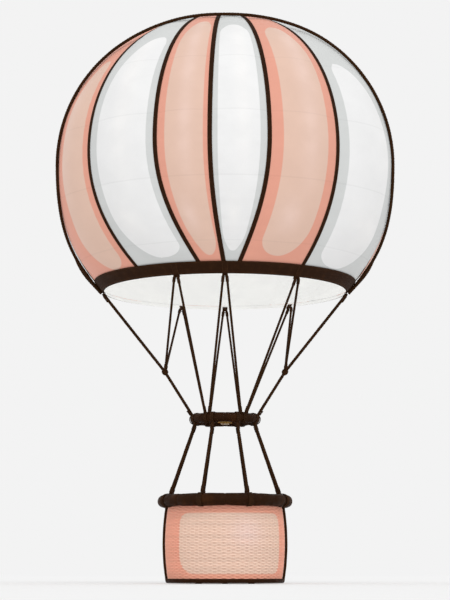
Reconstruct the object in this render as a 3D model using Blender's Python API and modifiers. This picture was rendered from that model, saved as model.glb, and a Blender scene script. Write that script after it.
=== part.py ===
"""Hot air balloon: a fourteen gore envelope, roped to a load ring and a woven tub basket.

Metres, +Z up. The origin is the centre of the envelope, where the air holds the balloon up.
Heights below are counted from the basket's underside, and up() moves them into the part's frame.
Azimuths are counted from the front, which is -Y, towards +X.
"""

import bpy
import bmesh
from math import acos, asin, cos, pi, radians, sin, sqrt
from mathutils import Matrix, Vector

# General fits
SEAT = 0.0003              # gap left between two pieces that touch
FINE = 0.0001              # merge distance for the modifiers

# Envelope, all on its outer face along a seam
AIR_CENTRE = 7.19          # height of the envelope's centre, the part's origin
SEAM_RADIUS = 2.965        # at the equator
CROWN_RISE = 2.80          # centre to crown
MOUTH_FALL = 3.03          # lower half axis of the ellipse that the seam follows
SKIN = 0.010               # thickness of the shell
LOBE = 0.052               # how far a gore swells, as a share of its width
LOBE_FADE = 0.9            # the swell dies out over this distance from the crown and the mouth
UPPER_STEPS = 7
LOWER_STEPS = 5

# Seams, each as its azimuth in degrees from the crown down to the belly, and at the hem
FRONT_SEAMS = ((-50.4, -39.0), (-22.8, -9.5), (-4.8, 0.0), (14.2, 5.0), (39.1, 34.0))
SIDE_SEAMS = ((84.7, 90.0), (275.3, 270.0))      # right and left, with equal gores between them at the back
BACK_GORES = 8
GORES = len(FRONT_SEAMS) + BACK_GORES + 1
LEAN_TOP = 7.4             # height where the seams begin to draw towards their hem ends
LEAN_CURVE = 2.5           # power of that curve
WIDE_GORE = radians(30)    # past this width a gore has three points across its lobe and not two

# Tapes and crown
TAPE_HALF = 0.0375
TAPE_THICK = 0.010
TAPE_OVER = 0.008          # lower end of the tapes over the mouth band
SEAM_FLAT = TAPE_HALF + 0.001
VENT_HOLE = 0.55           # radius of the hole at the crown
VENT_TAPE = 0.64           # outer radius of the tape around that hole
VENT_RIM = 0.62            # radius of the panel that closes the hole from inside
VENT_UNDER = 0.0108        # panel's top under the gores' outer face
VENT_DOME_STEPS = 3
CROWN_RING = (0.07, 0.11)  # inner and outer radius
CROWN_LINE_HALF = 0.011

# Mouth band
BAND_HEIGHT = 5.163        # halfway up
BAND_TALL = 0.185
BAND_THICK = 0.020         # square to the axis
BAND_SIDES = 44
HEM_LIFT = 0.07            # lower edge of the gores over the band's lower edge
LUG_RADIUS = 0.05
LUG_RISE = 0.004           # lug's centre over the band's lower edge

# Ropes
FRONT_POINTS = (-22, 0, 34)            # lugs of the front bridles, degrees; the back mirrors them
RING_POINTS = (-35, 35)                # where the front bridles reach the load ring, degrees
MAIN_POINT = 90                        # lug of a main rope, degrees
MAIN_ROPE = 0.029                      # radii
BRIDLE_ROPE = 0.0225
CAR_ROPE = 0.025
KNOT_RADIUS = 0.065
KNOT_REACH = 1.05                      # from the axis
KNOT_HEIGHT = 3.665
LUG_SPREAD = 0.0255                    # two ropes on one lug lie this far to either side

# Load ring and burner
RING_HEIGHT = 2.833
RING_RADIUS = 0.527                    # of its centre line
RING_TUBE = 0.087
GIMBAL_RADIUS = 0.34
GIMBAL_TUBE = 0.016
PIN = 0.012
PIN_GRIP = 0.022                       # how deep a pin sits in the load ring
BORE = 0.0126
BORE_PAST = 0.003                      # bore over the pin's end
GIMBAL_SIDES = 24
BOSS = (0.026, 0.05)                   # radius, length
BLOCK = (0.15, 0.24, 0.05)
BLOCK_DROP = 0.055                     # block's centre under the pins
BAR = (0.04, 0.08, 0.016)              # bracket from the block out to a cheek
BAR_PLACE = (0.155, 0.062)             # its centre from the middle, and under the pins
CHEEK = (0.04, 0.014, 0.09)            # upright plate that holds a pin
CHEEK_PLACE = (0.19, 0.03)
PIN_START = 0.188                      # inner end of the burner's pins
PIN_PAST = 0.006                       # how far they show past the gimbal's bosses
COIL_RADIUS = 0.14
COIL_WALL = 0.012
COIL_SWELL = 0.008                     # how far each turn stands out
COIL_TURNS = 6
COIL_TALL = 0.145
COIL_FOOT = -0.0297                    # coil's lower edge from the pins
INLETS = (0.05, 0.014, 0.05)           # offset, radius, length of the two fuel inlets
INLET_ROOT = 0.8                       # where they start, as a share of the block's half width
LEVER = (0.02, 0.012, 0.11)            # width, thickness, length of the two blast levers
LEVER_PLACE = (0.03, 0.004)            # offset, and how far it is let into the block

# Basket
RIM_HEIGHT = 1.409
RIM_RADIUS = 1.06
RIM_TUBE = 0.11
WALL_BELLY = 1.045                     # outer radius at the belly
BELLY_HEIGHT = 0.70
BELLY_CURVE = 0.125                    # radius lost for each square metre of height from there
WALL_THICK = 0.045
WALL_FOOT = 0.0403
WALL_STEPS = 5
TUB_SIDES = 40
TUBE_SIDES = 10                        # around the sections of the rim and the load ring
RING_SIDES = 32
FLOOR_THICK = 0.04
HOOP_THICK = 0.022
HOOP_CHAMFER = 0.010
HOOP_SPAN = (0.012, 0.085)             # heights
RUNNER = (0.10, 1.56, 0.04)
RUNNER_PLACES = (-0.45, 0.0, 0.45)
TANK_RADIUS = 0.14
TANK_TALL = 0.88
TANK_REACH = 0.80                      # tank's axis from the basket's axis
TANK_SIDES = 24
# Valve, collar, shoulder, side and foot: radius as a share of TANK_RADIUS, height of TANK_TALL
TANK_OUTLINE = ((0, 1), (0.32, 1), (0.32, 0.955), (0.61, 0.955), (0.61, 1), (0.71, 1), (0.71, 0.92),
                (0.93, 0.88), (1, 0.82), (1, 0.08), (0.93, 0.04), (0.86, 0.03), (0.86, 0), (0, 0))
STRAP_TALL = 0.045
STRAP_THICK = 0.008
STRAP_HEIGHT = 0.55

# Colour, roughness and metallic value of each finish
FINISHES = {
    "salmon_nylon": ((0.72, 0.42, 0.33), 0.62, 0.0),
    "white_nylon": ((0.83, 0.83, 0.82), 0.62, 0.0),
    "brown_webbing": ((0.035, 0.016, 0.007), 0.75, 0.0),
    "brown_rope": ((0.045, 0.020, 0.009), 0.85, 0.0),
    "brown_leather": ((0.030, 0.013, 0.006), 0.55, 0.0),
    "wicker": ((0.74, 0.49, 0.37), 0.70, 0.0),
    "plywood": ((0.55, 0.38, 0.24), 0.60, 0.0),
    "hardwood": ((0.16, 0.08, 0.04), 0.65, 0.0),
    "stainless_steel": ((0.60, 0.59, 0.57), 0.30, 1.0),
    "brass": ((0.62, 0.44, 0.19), 0.35, 1.0),
    "aluminium": ((0.66, 0.67, 0.68), 0.40, 1.0),
}


def up(height):
    """Height over the basket's underside, as Z in the part's frame."""
    return height - AIR_CENTRE


def around(turn, radius, height, aside=0.0):
    """Point at an azimuth, with aside as a step square to the radius."""
    return Vector((radius * sin(turn) + aside * cos(turn),
                   -radius * cos(turn) + aside * sin(turn), up(height)))


def clear_scene():
    """Remove what the file opened with, and make the collections."""
    for thing in list(bpy.data.objects):
        bpy.data.objects.remove(thing, do_unlink=True)
    for name in ("hot_air_balloon", "cutters"):
        bpy.context.scene.collection.children.link(bpy.data.collections.new(name))


def finish(name):
    """Principled material of a finish, made once."""
    found = bpy.data.materials.get(name)
    if found:
        return found
    colour, rough, metal = FINISHES[name]
    made = bpy.data.materials.new(name)
    made.use_nodes = True
    shader = made.node_tree.nodes["Principled BSDF"]
    shader.inputs["Base Color"].default_value = (*colour, 1.0)
    shader.inputs["Roughness"].default_value = rough
    shader.inputs["Metallic"].default_value = metal
    return made


def place(name, mesh, look=None):
    """Object of a mesh: a part with its material, or a cutter where look is left out."""
    thing = bpy.data.objects.new(name, mesh)
    if look is None:
        bpy.data.collections["cutters"].objects.link(thing)
        thing.hide_render = True
        thing.display_type = "WIRE"
        return thing
    bpy.data.collections["hot_air_balloon"].objects.link(thing)
    mesh.materials.clear()
    mesh.materials.append(finish(look))
    mesh.shade_smooth()
    mesh.set_sharp_from_angle(angle=radians(32))
    return thing


def mesh_of(name, bm):
    """Mesh data from a bmesh, which is freed."""
    mesh = bpy.data.meshes.new(name)
    bm.to_mesh(mesh)
    bm.free()
    return mesh


def ball(radius, centre, segments=12, rings=8):
    """Sphere mesh."""
    bm = bmesh.new()
    bmesh.ops.create_uvsphere(bm, u_segments=segments, v_segments=rings, radius=radius,
                              matrix=Matrix.Translation(centre))
    return mesh_of("ball", bm)


def rod(radius, start, end, sides=12):
    """Round bar mesh from one point to another."""
    run = end - start
    turn = run.to_track_quat("Z", "Y").to_matrix().to_4x4()
    bm = bmesh.new()
    bmesh.ops.create_cone(bm, cap_ends=True, segments=sides, radius1=radius, radius2=radius,
                          depth=run.length, matrix=Matrix.Translation((start + end) / 2) @ turn)
    return mesh_of("rod", bm)


def box(size, centre):
    """Box mesh."""
    bm = bmesh.new()
    bmesh.ops.create_cube(bm, size=1.0, matrix=Matrix.Translation(centre) @ Matrix.Diagonal((*size, 1.0)))
    return mesh_of("box", bm)


def turned(name, outline, sides, look=None, closed=True):
    """Turned piece: an outline of (radius, height) points, spun about the upright axis."""
    bm = bmesh.new()
    verts = [bm.verts.new((radius, 0.0, up(height))) for radius, height in outline]
    for first, second in zip(verts, verts[1:] + (verts[:1] if closed else [])):
        bm.edges.new((first, second))
    thing = place(name, mesh_of(name, bm), look)
    spin = thing.modifiers.new("spin", "SCREW")
    spin.steps = spin.render_steps = sides
    spin.use_merge_vertices = True
    spin.merge_threshold = FINE
    spin.use_smooth_shade = True
    return thing


def tube(name, points, radius, look=None):
    """Rope or bar along straight runs, made a mesh so that it can be cut."""
    curve = bpy.data.curves.new(name, "CURVE")
    curve.dimensions = "3D"
    curve.bevel_depth = radius
    curve.bevel_resolution = 2
    curve.use_fill_caps = True
    spline = curve.splines.new("POLY")
    spline.points.add(len(points) - 1)
    for knob, point in zip(spline.points, points):
        knob.co = (*point, 1.0)
    drawn = bpy.data.objects.new(name, curve)
    bpy.context.scene.collection.objects.link(drawn)
    bpy.context.view_layer.update()
    mesh = bpy.data.meshes.new_from_object(drawn.evaluated_get(bpy.context.evaluated_depsgraph_get()))
    bpy.data.objects.remove(drawn)
    bpy.data.curves.remove(curve)
    bm = bmesh.new()
    bm.from_mesh(mesh)
    bmesh.ops.remove_doubles(bm, verts=bm.verts, dist=FINE)
    bmesh.ops.recalc_face_normals(bm, faces=bm.faces)
    bpy.data.meshes.remove(mesh)
    return place(name, mesh_of(name, bm), look)


def torus_outline(radius, tube_radius, height, sides):
    """Outline of a ring with a round section."""
    return [(radius + tube_radius * cos(2 * pi * i / sides), height - tube_radius * sin(2 * pi * i / sides))
            for i in range(sides)]


def combine(thing, operation, *others):
    """Join or cut a piece with other meshes or objects, which become cutters."""
    for other in others:
        if isinstance(other, bpy.types.Mesh):
            other = place(thing.name + "_with_" + other.name, other)
        change = thing.modifiers.new(operation.lower(), "BOOLEAN")
        change.operation = operation
        change.solver = "EXACT"
        change.object = other


def seam_height(radius):
    """Height of the seam's upper stretch at a radius."""
    return AIR_CENTRE + CROWN_RISE * sqrt(1 - (radius / SEAM_RADIUS) ** 2)


def lower_radius(height):
    """Radius of the seam's lower stretch at a height."""
    return SEAM_RADIUS * cos(asin((AIR_CENTRE - height) / MOUTH_FALL))


BAND_FOOT = BAND_HEIGHT - BAND_TALL / 2
BAND_TOP = BAND_HEIGHT + BAND_TALL / 2
TAPE_FOOT = BAND_TOP + TAPE_OVER
HEM_FOOT = BAND_FOOT + HEM_LIFT


def seam_rows():
    """Radius and height of each row of a gore, from the vent's edge to the hem."""
    rows = [(VENT_HOLE, seam_height(VENT_HOLE)), (VENT_TAPE, seam_height(VENT_TAPE))]
    start = acos(VENT_TAPE / SEAM_RADIUS)
    for step in range(1, UPPER_STEPS + 1):
        turn = start * (1 - step / UPPER_STEPS)
        rows.append((SEAM_RADIUS * cos(turn), AIR_CENTRE + CROWN_RISE * sin(turn)))
    end = asin((AIR_CENTRE - TAPE_FOOT) / MOUTH_FALL)
    for step in range(1, LOWER_STEPS + 1):
        turn = end * step / LOWER_STEPS
        rows.append((SEAM_RADIUS * cos(turn), AIR_CENTRE - MOUTH_FALL * sin(turn)))
    rows.append((lower_radius(HEM_FOOT), HEM_FOOT))
    return rows


def row_normals(rows):
    """Outward normal of the seam at each row, as (radial, upward) parts."""
    runs = [Vector((b[0] - a[0], b[1] - a[1])).normalized() for a, b in zip(rows, rows[1:])]
    normals = []
    for before, after in zip([runs[0]] + runs, runs + [runs[-1]]):
        mean = (before + after).normalized()
        normals.append(Vector((-mean.y, mean.x)) / mean.dot(before))
    return normals


def lobe_fade(rows):
    """Share of the full swell that a gore has at each row."""
    reach = [0.0]
    for before, after in zip(rows[1:], rows[2:]):
        reach.append(reach[-1] + (Vector(after) - Vector(before)).length)
    near = [min(1.0, here / LOBE_FADE, max(0.0, (reach[-2] - here) / LOBE_FADE)) for here in reach]
    return [0.0] + [share * (2 - share) for share in near]


def surface(name, columns, rows, look, where, keep=None, closed=False):
    """Sheet from a grid: where(column, row) places a point, keep(column, row) picks the faces."""
    bm = bmesh.new()
    bmesh.ops.create_grid(bm, x_segments=columns, y_segments=rows, size=0.5)
    spots = {vert: (round((vert.co.x + 0.5) * columns), round((0.5 - vert.co.y) * rows))
             for vert in bm.verts}
    if keep:
        drop = []
        for face in bm.faces:
            column = min(spots[vert][0] for vert in face.verts)
            row = min(spots[vert][1] for vert in face.verts)
            if not keep(column, row):
                drop.append(face)
        bmesh.ops.delete(bm, geom=drop, context="FACES")
    for vert in bm.verts:
        vert.co = where(*spots[vert])
    bmesh.ops.triangulate(bm, faces=bm.faces, quad_method="FIXED")
    if closed:
        bmesh.ops.remove_doubles(bm, verts=bm.verts, dist=FINE)
    return place(name, mesh_of(name, bm), look)


def thicken(thing, thickness, offset):
    """Give a sheet its thickness, inwards at offset -1 or outwards at 1."""
    solid = thing.modifiers.new("thickness", "SOLIDIFY")
    solid.thickness = thickness
    solid.offset = offset
    solid.use_even_offset = True


def seam_table():
    """Azimuths of every seam, as (belly, hem) in degrees, round from the front's first one."""
    right, left = SIDE_SEAMS
    back = [tuple(a + (b - a) * step / BACK_GORES for a, b in zip(right, left))
            for step in range(BACK_GORES + 1)]
    return [*FRONT_SEAMS, *back]


SEAMS = seam_table()


def seam_turn(number, height=AIR_CENTRE + CROWN_RISE):
    """Azimuth of a seam at a height. The seam after the last one is the first, a turn further on."""
    rounds, place_in = divmod(number, GORES)
    belly, hem = SEAMS[place_in]
    share = max(0.0, (LEAN_TOP - height) / (LEAN_TOP - HEM_FOOT)) ** LEAN_CURVE
    return radians(belly + (hem - belly) * share) + 2 * pi * rounds


def lobe_points(number):
    """How many points a gore has across its lobe."""
    return 3 if seam_turn(number + 1) - seam_turn(number) > WIDE_GORE else 2


def lobe_point(number, share, radius, height, fade):
    """Point of a gore at a share of its width."""
    left, right = seam_turn(number, height), seam_turn(number + 1, height)
    swell = LOBE * radius * (right - left) * fade
    return around(left + share * (right - left), radius + swell * 4 * share * (1 - share), height)


def gore_sheet(number, rows, fades):
    """Sheet of one gore: an edge and a flat beside the tape on each side, and the lobe between."""
    count = lobe_points(number)

    def where(column, row):
        radius, height = rows[row]
        beside = {0: (0, SEAT / 2), 1: (0, SEAM_FLAT), count + 2: (1, -SEAM_FLAT), count + 3: (1, -SEAT / 2)}
        if column in beside:
            side, aside = beside[column]
            return around(seam_turn(number + side, height), radius, height, aside)
        return lobe_point(number, (column - 1) / (count + 1), radius, height, fades[row])

    look = "white_nylon" if number % 2 == 0 else "salmon_nylon"
    return surface("gore_%02d" % (number + 1), count + 3, len(rows) - 1, look, where)


def gores():
    """The fourteen gores, in turn white and salmon, each a shell of its own."""
    rows = seam_rows()
    fades = lobe_fade(rows)
    for number in range(GORES):
        thicken(gore_sheet(number, rows, fades), SKIN, -1)


def tape_columns():
    """Columns of the tapes: for each seam three across its tape, as a step aside, then the lobe's shares."""
    columns = []
    for number in range(GORES):
        count = lobe_points(number)
        columns += [(number, aside, None) for aside in (-TAPE_HALF, 0.0, TAPE_HALF)]
        columns += [(number, None, (spot + 1) / (count + 1)) for spot in range(count)]
    return columns


def load_tapes():
    """Webbing over every seam, joined by the tape around the vent hole."""
    rows = seam_rows()[:-1]
    lift = row_normals(seam_rows())
    columns = tape_columns()

    def where(column, row):
        number, aside, share = columns[column % len(columns)]
        radius = rows[row][0] + SEAT * lift[row].x
        height = rows[row][1] + SEAT * lift[row].y
        if aside is None:
            return lobe_point(number, share, radius, height, 0.0)
        return around(seam_turn(number, rows[row][1]), radius, height, aside)

    def keep(column, row):
        aside = columns[column][1]
        return row == 0 or aside is not None and aside < TAPE_HALF

    thing = surface("load_tapes", len(columns), len(rows) - 1, "brown_webbing", where, keep, closed=True)
    thicken(thing, TAPE_THICK, 1)


def crown_lines():
    """The crown ring, and the lines from it to the tape around the vent hole."""
    radii = (*CROWN_RING, VENT_HOLE - SEAT)

    def where(column, row):
        number, side = divmod(column, 2)
        aside = CROWN_LINE_HALF * (2 * side - 1)
        return around(seam_turn(number), radii[row], seam_height(radii[row]) + SEAT, aside)

    thing = surface("crown_lines", 2 * GORES, 2, "brown_webbing", where,
                    lambda column, row: row == 0 or column % 2 == 0, closed=True)
    thicken(thing, TAPE_THICK, 1)


def vent_panel():
    """Round panel that closes the vent hole from inside, and is pulled down to open it."""
    hole, tape = seam_height(VENT_HOLE), seam_height(VENT_TAPE)
    rim = hole + (tape - hole) * (VENT_RIM - VENT_HOLE) / (VENT_TAPE - VENT_HOLE)
    dome = [VENT_HOLE * step / VENT_DOME_STEPS for step in range(VENT_DOME_STEPS + 1)]
    top = [(radius, seam_height(radius) - VENT_UNDER) for radius in dome]
    top.append((VENT_RIM, rim - VENT_UNDER))
    under = [(radius, height - SKIN) for radius, height in reversed(top)]
    return turned("vent_panel", top + under, 2 * GORES, "salmon_nylon", closed=False)


def band_radius(height):
    """Inner radius of the mouth band at its corners. Its sides are just clear of the hem, and one is square
    to the front, where it meets a seam."""
    lean = (lower_radius(TAPE_FOOT) - lower_radius(HEM_FOOT)) / (TAPE_FOOT - HEM_FOOT)
    hem = lower_radius(HEM_FOOT) + lean * (height - HEM_FOOT)
    return (hem + 2 * SEAT) / cos(pi / BAND_SIDES)


def band_outline(grow):
    """Section of the mouth band, which leans as the envelope does."""
    top, foot = BAND_TOP + grow, BAND_FOOT - grow
    return [(band_radius(top) + BAND_THICK + grow, top), (band_radius(foot) + BAND_THICK + grow, foot),
            (band_radius(foot) - grow, foot), (band_radius(top) - grow, top)]


def lug_places():
    """Azimuth in degrees of each lug on the mouth band."""
    return [*FRONT_POINTS, MAIN_POINT, *[180 - turn for turn in FRONT_POINTS], -MAIN_POINT]


def lug_centre(turn, aside=0.0):
    """Centre of the lug at an azimuth in degrees."""
    return around(radians(turn), band_radius(BAND_FOOT) + BAND_THICK / 2, BAND_FOOT + LUG_RISE, aside)


def mouth_band(name, grow=0.0, look=None):
    """Band around the mouth with the eight lugs that the ropes hang on."""
    thing = turned(name, band_outline(grow), BAND_SIDES, look)
    thing.rotation_euler.z = pi / BAND_SIDES - pi / 2
    combine(thing, "UNION", *[ball(LUG_RADIUS + grow, lug_centre(turn), 8, 6) for turn in lug_places()])
    return thing


def ring_seats():
    """The bodies that the ropes are cut back from, a hair larger than the real ones."""
    mouth_band("mouth_seat", 2 * SEAT)
    turned("ring_seat", torus_outline(RING_RADIUS, RING_TUBE + 2 * SEAT, RING_HEIGHT, TUBE_SIDES), RING_SIDES)
    turned("rim_seat", torus_outline(RIM_RADIUS, RIM_TUBE + 2 * SEAT, RIM_HEIGHT, TUBE_SIDES), TUB_SIDES)


def seat_cut(thing, *seats):
    """Cut a piece back from the bodies that it ends on."""
    combine(thing, "DIFFERENCE", *[bpy.data.objects[seat] for seat in seats])


def main_ropes():
    """Left and right main rope, from the band through its knot to the load ring, with two branches."""
    ends = {"left": (-MAIN_POINT, FRONT_POINTS[0]), "right": (MAIN_POINT, FRONT_POINTS[2])}
    for side, (turn, front) in ends.items():
        knot = around(radians(turn), KNOT_REACH, KNOT_HEIGHT)
        place("knot_seat_" + side, ball(KNOT_RADIUS + 2 * SEAT, knot))
        thing = place("main_rope_" + side, ball(KNOT_RADIUS, knot), "brown_rope")
        combine(thing, "UNION", tube("upper", [lug_centre(turn), knot], MAIN_ROPE),
                tube("lower", [knot, around(radians(turn), RING_RADIUS, RING_HEIGHT)], MAIN_ROPE))
        seat_cut(thing, "mouth_seat", "ring_seat")
        for half, lug in (("front", front), ("back", 180 - front)):
            aside = LUG_SPREAD if sin(radians(turn - lug)) > 0 else -LUG_SPREAD
            branch = tube("branch_%s_%s" % (half, side), [knot, lug_centre(lug, aside)],
                          BRIDLE_ROPE, "brown_rope")
            seat_cut(branch, "mouth_seat", "knot_seat_" + side)


def bridles():
    """Eight bridle ropes, two from each of four places on the load ring up to the mouth band. The back ones
    mirror the front ones."""
    hands = (("left", RING_POINTS[0], FRONT_POINTS[0], -1), ("right", RING_POINTS[1], FRONT_POINTS[2], 1))
    for half, start, way in (("front", 0, 1), ("back", 180, -1)):
        for hand, ring_point, outer, side in hands:
            for reach, lug, lean in (("outer", outer, side), ("inner", FRONT_POINTS[1], -side)):
                foot = around(radians(start + way * ring_point), RING_RADIUS, RING_HEIGHT, way * lean * LUG_SPREAD)
                top = lug_centre(start + way * lug, -way * lean * LUG_SPREAD)
                rope = tube("bridle_%s_%s_%s" % (half, hand, reach), [foot, top], BRIDLE_ROPE, "brown_rope")
                seat_cut(rope, "mouth_seat", "ring_seat")


def car_lines():
    """Eight lines from the load ring down to the basket's rim."""
    for number in range(8):
        turn = radians(22.5 + 45 * number)
        top = around(turn, RING_RADIUS, RING_HEIGHT)
        foot = around(turn, RIM_RADIUS, RIM_HEIGHT)
        thing = tube("car_line_%d" % (number + 1), [top, foot], CAR_ROPE, "brown_rope")
        seat_cut(thing, "ring_seat", "rim_seat")


def load_ring():
    """Padded load ring, bored on its inner side for the gimbal's two pins."""
    outline = torus_outline(RING_RADIUS, RING_TUBE, RING_HEIGHT, TUBE_SIDES)
    thing = turned("load_ring", outline, RING_SIDES, "brown_leather")
    inside = RING_RADIUS - RING_TUBE
    for side in (-1, 1):
        start = Vector((side * (inside - PIN_GRIP), 0, up(RING_HEIGHT)))
        end = Vector((side * (inside + PIN_GRIP + BORE_PAST), 0, up(RING_HEIGHT)))
        combine(thing, "DIFFERENCE", rod(BORE, start, end))


def gimbal_frame():
    """Ring that tilts about X in the load ring, and holds the burner's shaft along Y."""
    outline = torus_outline(GIMBAL_RADIUS, GIMBAL_TUBE, RING_HEIGHT, 8)
    thing = turned("gimbal_frame", outline, GIMBAL_SIDES, "stainless_steel")
    reach = RING_RADIUS - RING_TUBE + PIN_GRIP
    for side in (-1, 1):
        root, tip = (Vector((side * along, 0, up(RING_HEIGHT))) for along in (GIMBAL_RADIUS, reach))
        pin = rod(PIN, root, tip)
        start = Vector((0, side * (GIMBAL_RADIUS - BOSS[1] / 2), up(RING_HEIGHT)))
        end = Vector((0, side * (GIMBAL_RADIUS + BOSS[1] / 2), up(RING_HEIGHT)))
        combine(thing, "UNION", pin, rod(BOSS[0], start, end))
    far = Vector((0, GIMBAL_RADIUS + BOSS[1], 0))
    middle = Vector((0, 0, up(RING_HEIGHT)))
    combine(thing, "DIFFERENCE", rod(BORE, middle - far, middle + far))


def burner():
    """Burner block on its shaft, with two fuel inlets and two blast levers, and the coil on top."""
    axis = up(RING_HEIGHT)
    block = place("burner_block", box(BLOCK, (0, 0, axis - BLOCK_DROP)), "brass")
    half = GIMBAL_RADIUS + BOSS[1] / 2 + PIN_PAST
    pins = [rod(PIN, Vector((0, side * PIN_START, axis)), Vector((0, side * half, axis))) for side in (-1, 1)]
    cheeks = [box(CHEEK, (0, side * CHEEK_PLACE[0], axis - CHEEK_PLACE[1])) for side in (-1, 1)]
    bars = [box(BAR, (0, side * BAR_PLACE[0], axis - BAR_PLACE[1])) for side in (-1, 1)]
    combine(block, "UNION", *bars, *cheeks, *pins)
    offset, radius, length = INLETS
    width, thick, long = LEVER
    foot = axis - BLOCK_DROP - BLOCK[2] / 2
    for side in (-1, 1):
        inlet = rod(radius, Vector((side * BLOCK[0] / 2 * INLET_ROOT, side * offset, axis - BLOCK_DROP)),
                    Vector((side * (BLOCK[0] / 2 + length), side * offset, axis - BLOCK_DROP)))
        shift, sunk = LEVER_PLACE
        lever = box((width, long, thick), (side * shift, side * long / 2, foot - thick / 2 + sunk))
        combine(block, "UNION", inlet, lever)
    coil("burner_coil", RING_HEIGHT)


def coil(name, height):
    """Coil and can, a turned shell with one bulge for each turn of the tube."""
    outer = []
    for step in range(COIL_TURNS * 2 + 1):
        level = height + COIL_FOOT + COIL_TALL - COIL_TALL * step / (COIL_TURNS * 2)
        outer.append((COIL_RADIUS + COIL_SWELL * (step % 2), level))
    foot = height + COIL_FOOT
    bore = [(COIL_RADIUS - COIL_WALL, level) for level in (foot, foot + COIL_TALL)]
    return turned(name, outer + bore, GIMBAL_SIDES, "stainless_steel")


def wall_radius(height):
    """Outer radius of the basket's wall."""
    return WALL_BELLY - BELLY_CURVE * (height - BELLY_HEIGHT) ** 2


def basket_wall():
    """Woven wall, cut back under the padded rim."""
    levels = [RIM_HEIGHT - (RIM_HEIGHT - WALL_FOOT) * step / WALL_STEPS for step in range(WALL_STEPS + 1)]
    outer = [(wall_radius(level), level) for level in levels]
    inner = [(radius - WALL_THICK, level) for radius, level in reversed(outer)]
    thing = turned("basket_wall", outer + inner, TUB_SIDES, "wicker")
    seat_cut(thing, "rim_seat")


def basket_trim():
    """Padded rim, hoop around the foot, floor and runners."""
    outline = torus_outline(RIM_RADIUS, RIM_TUBE, RIM_HEIGHT, TUBE_SIDES)
    turned("basket_rim", outline, TUB_SIDES, "brown_leather")
    low, high = HOOP_SPAN
    foot, head = wall_radius(WALL_FOOT), wall_radius(high)
    lean = (head - foot) / (high - WALL_FOOT)
    inner = [foot + lean * (level - WALL_FOOT) + 2 * SEAT for level in (low, high)]
    outer = [radius + HOOP_THICK for radius in inner]
    hoop = [(outer[1] - HOOP_CHAMFER, high), (outer[1], high - HOOP_CHAMFER), (outer[0], low + HOOP_CHAMFER),
            (outer[0] - HOOP_CHAMFER, low), (inner[0], low), (inner[1], high)]
    turned("base_hoop", hoop, TUB_SIDES, "brown_leather")
    edge = wall_radius(WALL_FOOT) - WALL_THICK - SEAT
    top = WALL_FOOT + FLOOR_THICK
    disc = [(0, top), (edge, top), (edge, WALL_FOOT), (0, WALL_FOOT)]
    turned("basket_floor", disc, TUB_SIDES, "plywood", closed=False)
    width, length, tall = RUNNER
    for number, across in enumerate(RUNNER_PLACES):
        place("runner_%d" % (number + 1), box((width, length, tall), (across, 0, up(tall / 2))), "hardwood")


def tanks():
    """Two fuel tanks on the floor against the wall, each with its strap."""
    floor = WALL_FOOT + FLOOR_THICK + SEAT
    outline = [(share * TANK_RADIUS, floor + level * TANK_TALL) for share, level in TANK_OUTLINE]
    inner, outer = TANK_RADIUS + 2 * SEAT, TANK_RADIUS + 2 * SEAT + STRAP_THICK
    low, high = STRAP_HEIGHT - STRAP_TALL / 2, STRAP_HEIGHT + STRAP_TALL / 2
    strap = [(inner, high), (outer, high), (outer, low), (inner, low)]
    for side, name in ((-1, "left"), (1, "right")):
        shift = Vector((side * TANK_REACH, 0, 0))
        tank = turned("tank_" + name, outline, TANK_SIDES, "aluminium", closed=False)
        tank.location = shift
        loop = turned("tank_strap_" + name, strap, TANK_SIDES, "brown_webbing")
        loop.location = shift


def build():
    """Make every piece."""
    clear_scene()
    ring_seats()
    gores()
    load_tapes()
    crown_lines()
    vent_panel()
    mouth_band("mouth_band", 0.0, "brown_webbing")
    main_ropes()
    bridles()
    load_ring()
    gimbal_frame()
    burner()
    car_lines()
    basket_wall()
    basket_trim()
    tanks()


build()
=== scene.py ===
"""Looks of the hot air balloon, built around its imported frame.

Metres, +Z up, -Y towards the viewer. Heights are counted from the basket's underside, as in the part's source,
and azimuths from the front towards +X.
"""

import logging
from dataclasses import dataclass, field
from enum import Enum
from math import acos, asin, cos, pi, radians, sin, sqrt
from random import Random
from typing import Sequence

import bmesh
import bpy
import numpy as np
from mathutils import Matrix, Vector


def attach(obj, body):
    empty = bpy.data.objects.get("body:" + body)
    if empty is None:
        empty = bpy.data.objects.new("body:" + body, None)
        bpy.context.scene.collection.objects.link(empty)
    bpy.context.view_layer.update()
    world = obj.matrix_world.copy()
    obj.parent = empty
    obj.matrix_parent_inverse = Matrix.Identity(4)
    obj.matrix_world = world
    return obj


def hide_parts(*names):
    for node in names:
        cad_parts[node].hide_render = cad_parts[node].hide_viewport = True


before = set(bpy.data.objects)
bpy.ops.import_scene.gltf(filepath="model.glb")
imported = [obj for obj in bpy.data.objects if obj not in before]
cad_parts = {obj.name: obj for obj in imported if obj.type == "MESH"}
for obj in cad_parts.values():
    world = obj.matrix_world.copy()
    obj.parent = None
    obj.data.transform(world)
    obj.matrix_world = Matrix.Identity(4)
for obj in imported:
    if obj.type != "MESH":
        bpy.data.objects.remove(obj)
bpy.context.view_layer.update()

log = logging.getLogger("balloon")

AIR_CENTRE = 7.19          # height of the part's origin over the basket's underside
SEAT = 0.0003              # gap between pieces that touch
MERGE = 0.00005            # vertices closer than this are one
SIDES = (-1, 1)            # left and right, or front and back
RIM_LACINGS = tuple(22.5 + 45 * number for number in range(8))         # azimuths in degrees
RING_LACINGS = (*RIM_LACINGS, -90, 90, -35, 145, 35, 215)

Grid = np.ndarray
Thing = bpy.types.Object
Tree = bpy.types.NodeTree
Socket = bpy.types.NodeSocket


class Body(Enum):
    """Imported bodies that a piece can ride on."""

    BALLOON = "balloon"
    VENT = "vent_panel"
    GIMBAL = "gimbal"
    BURNER = "burner"


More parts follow.
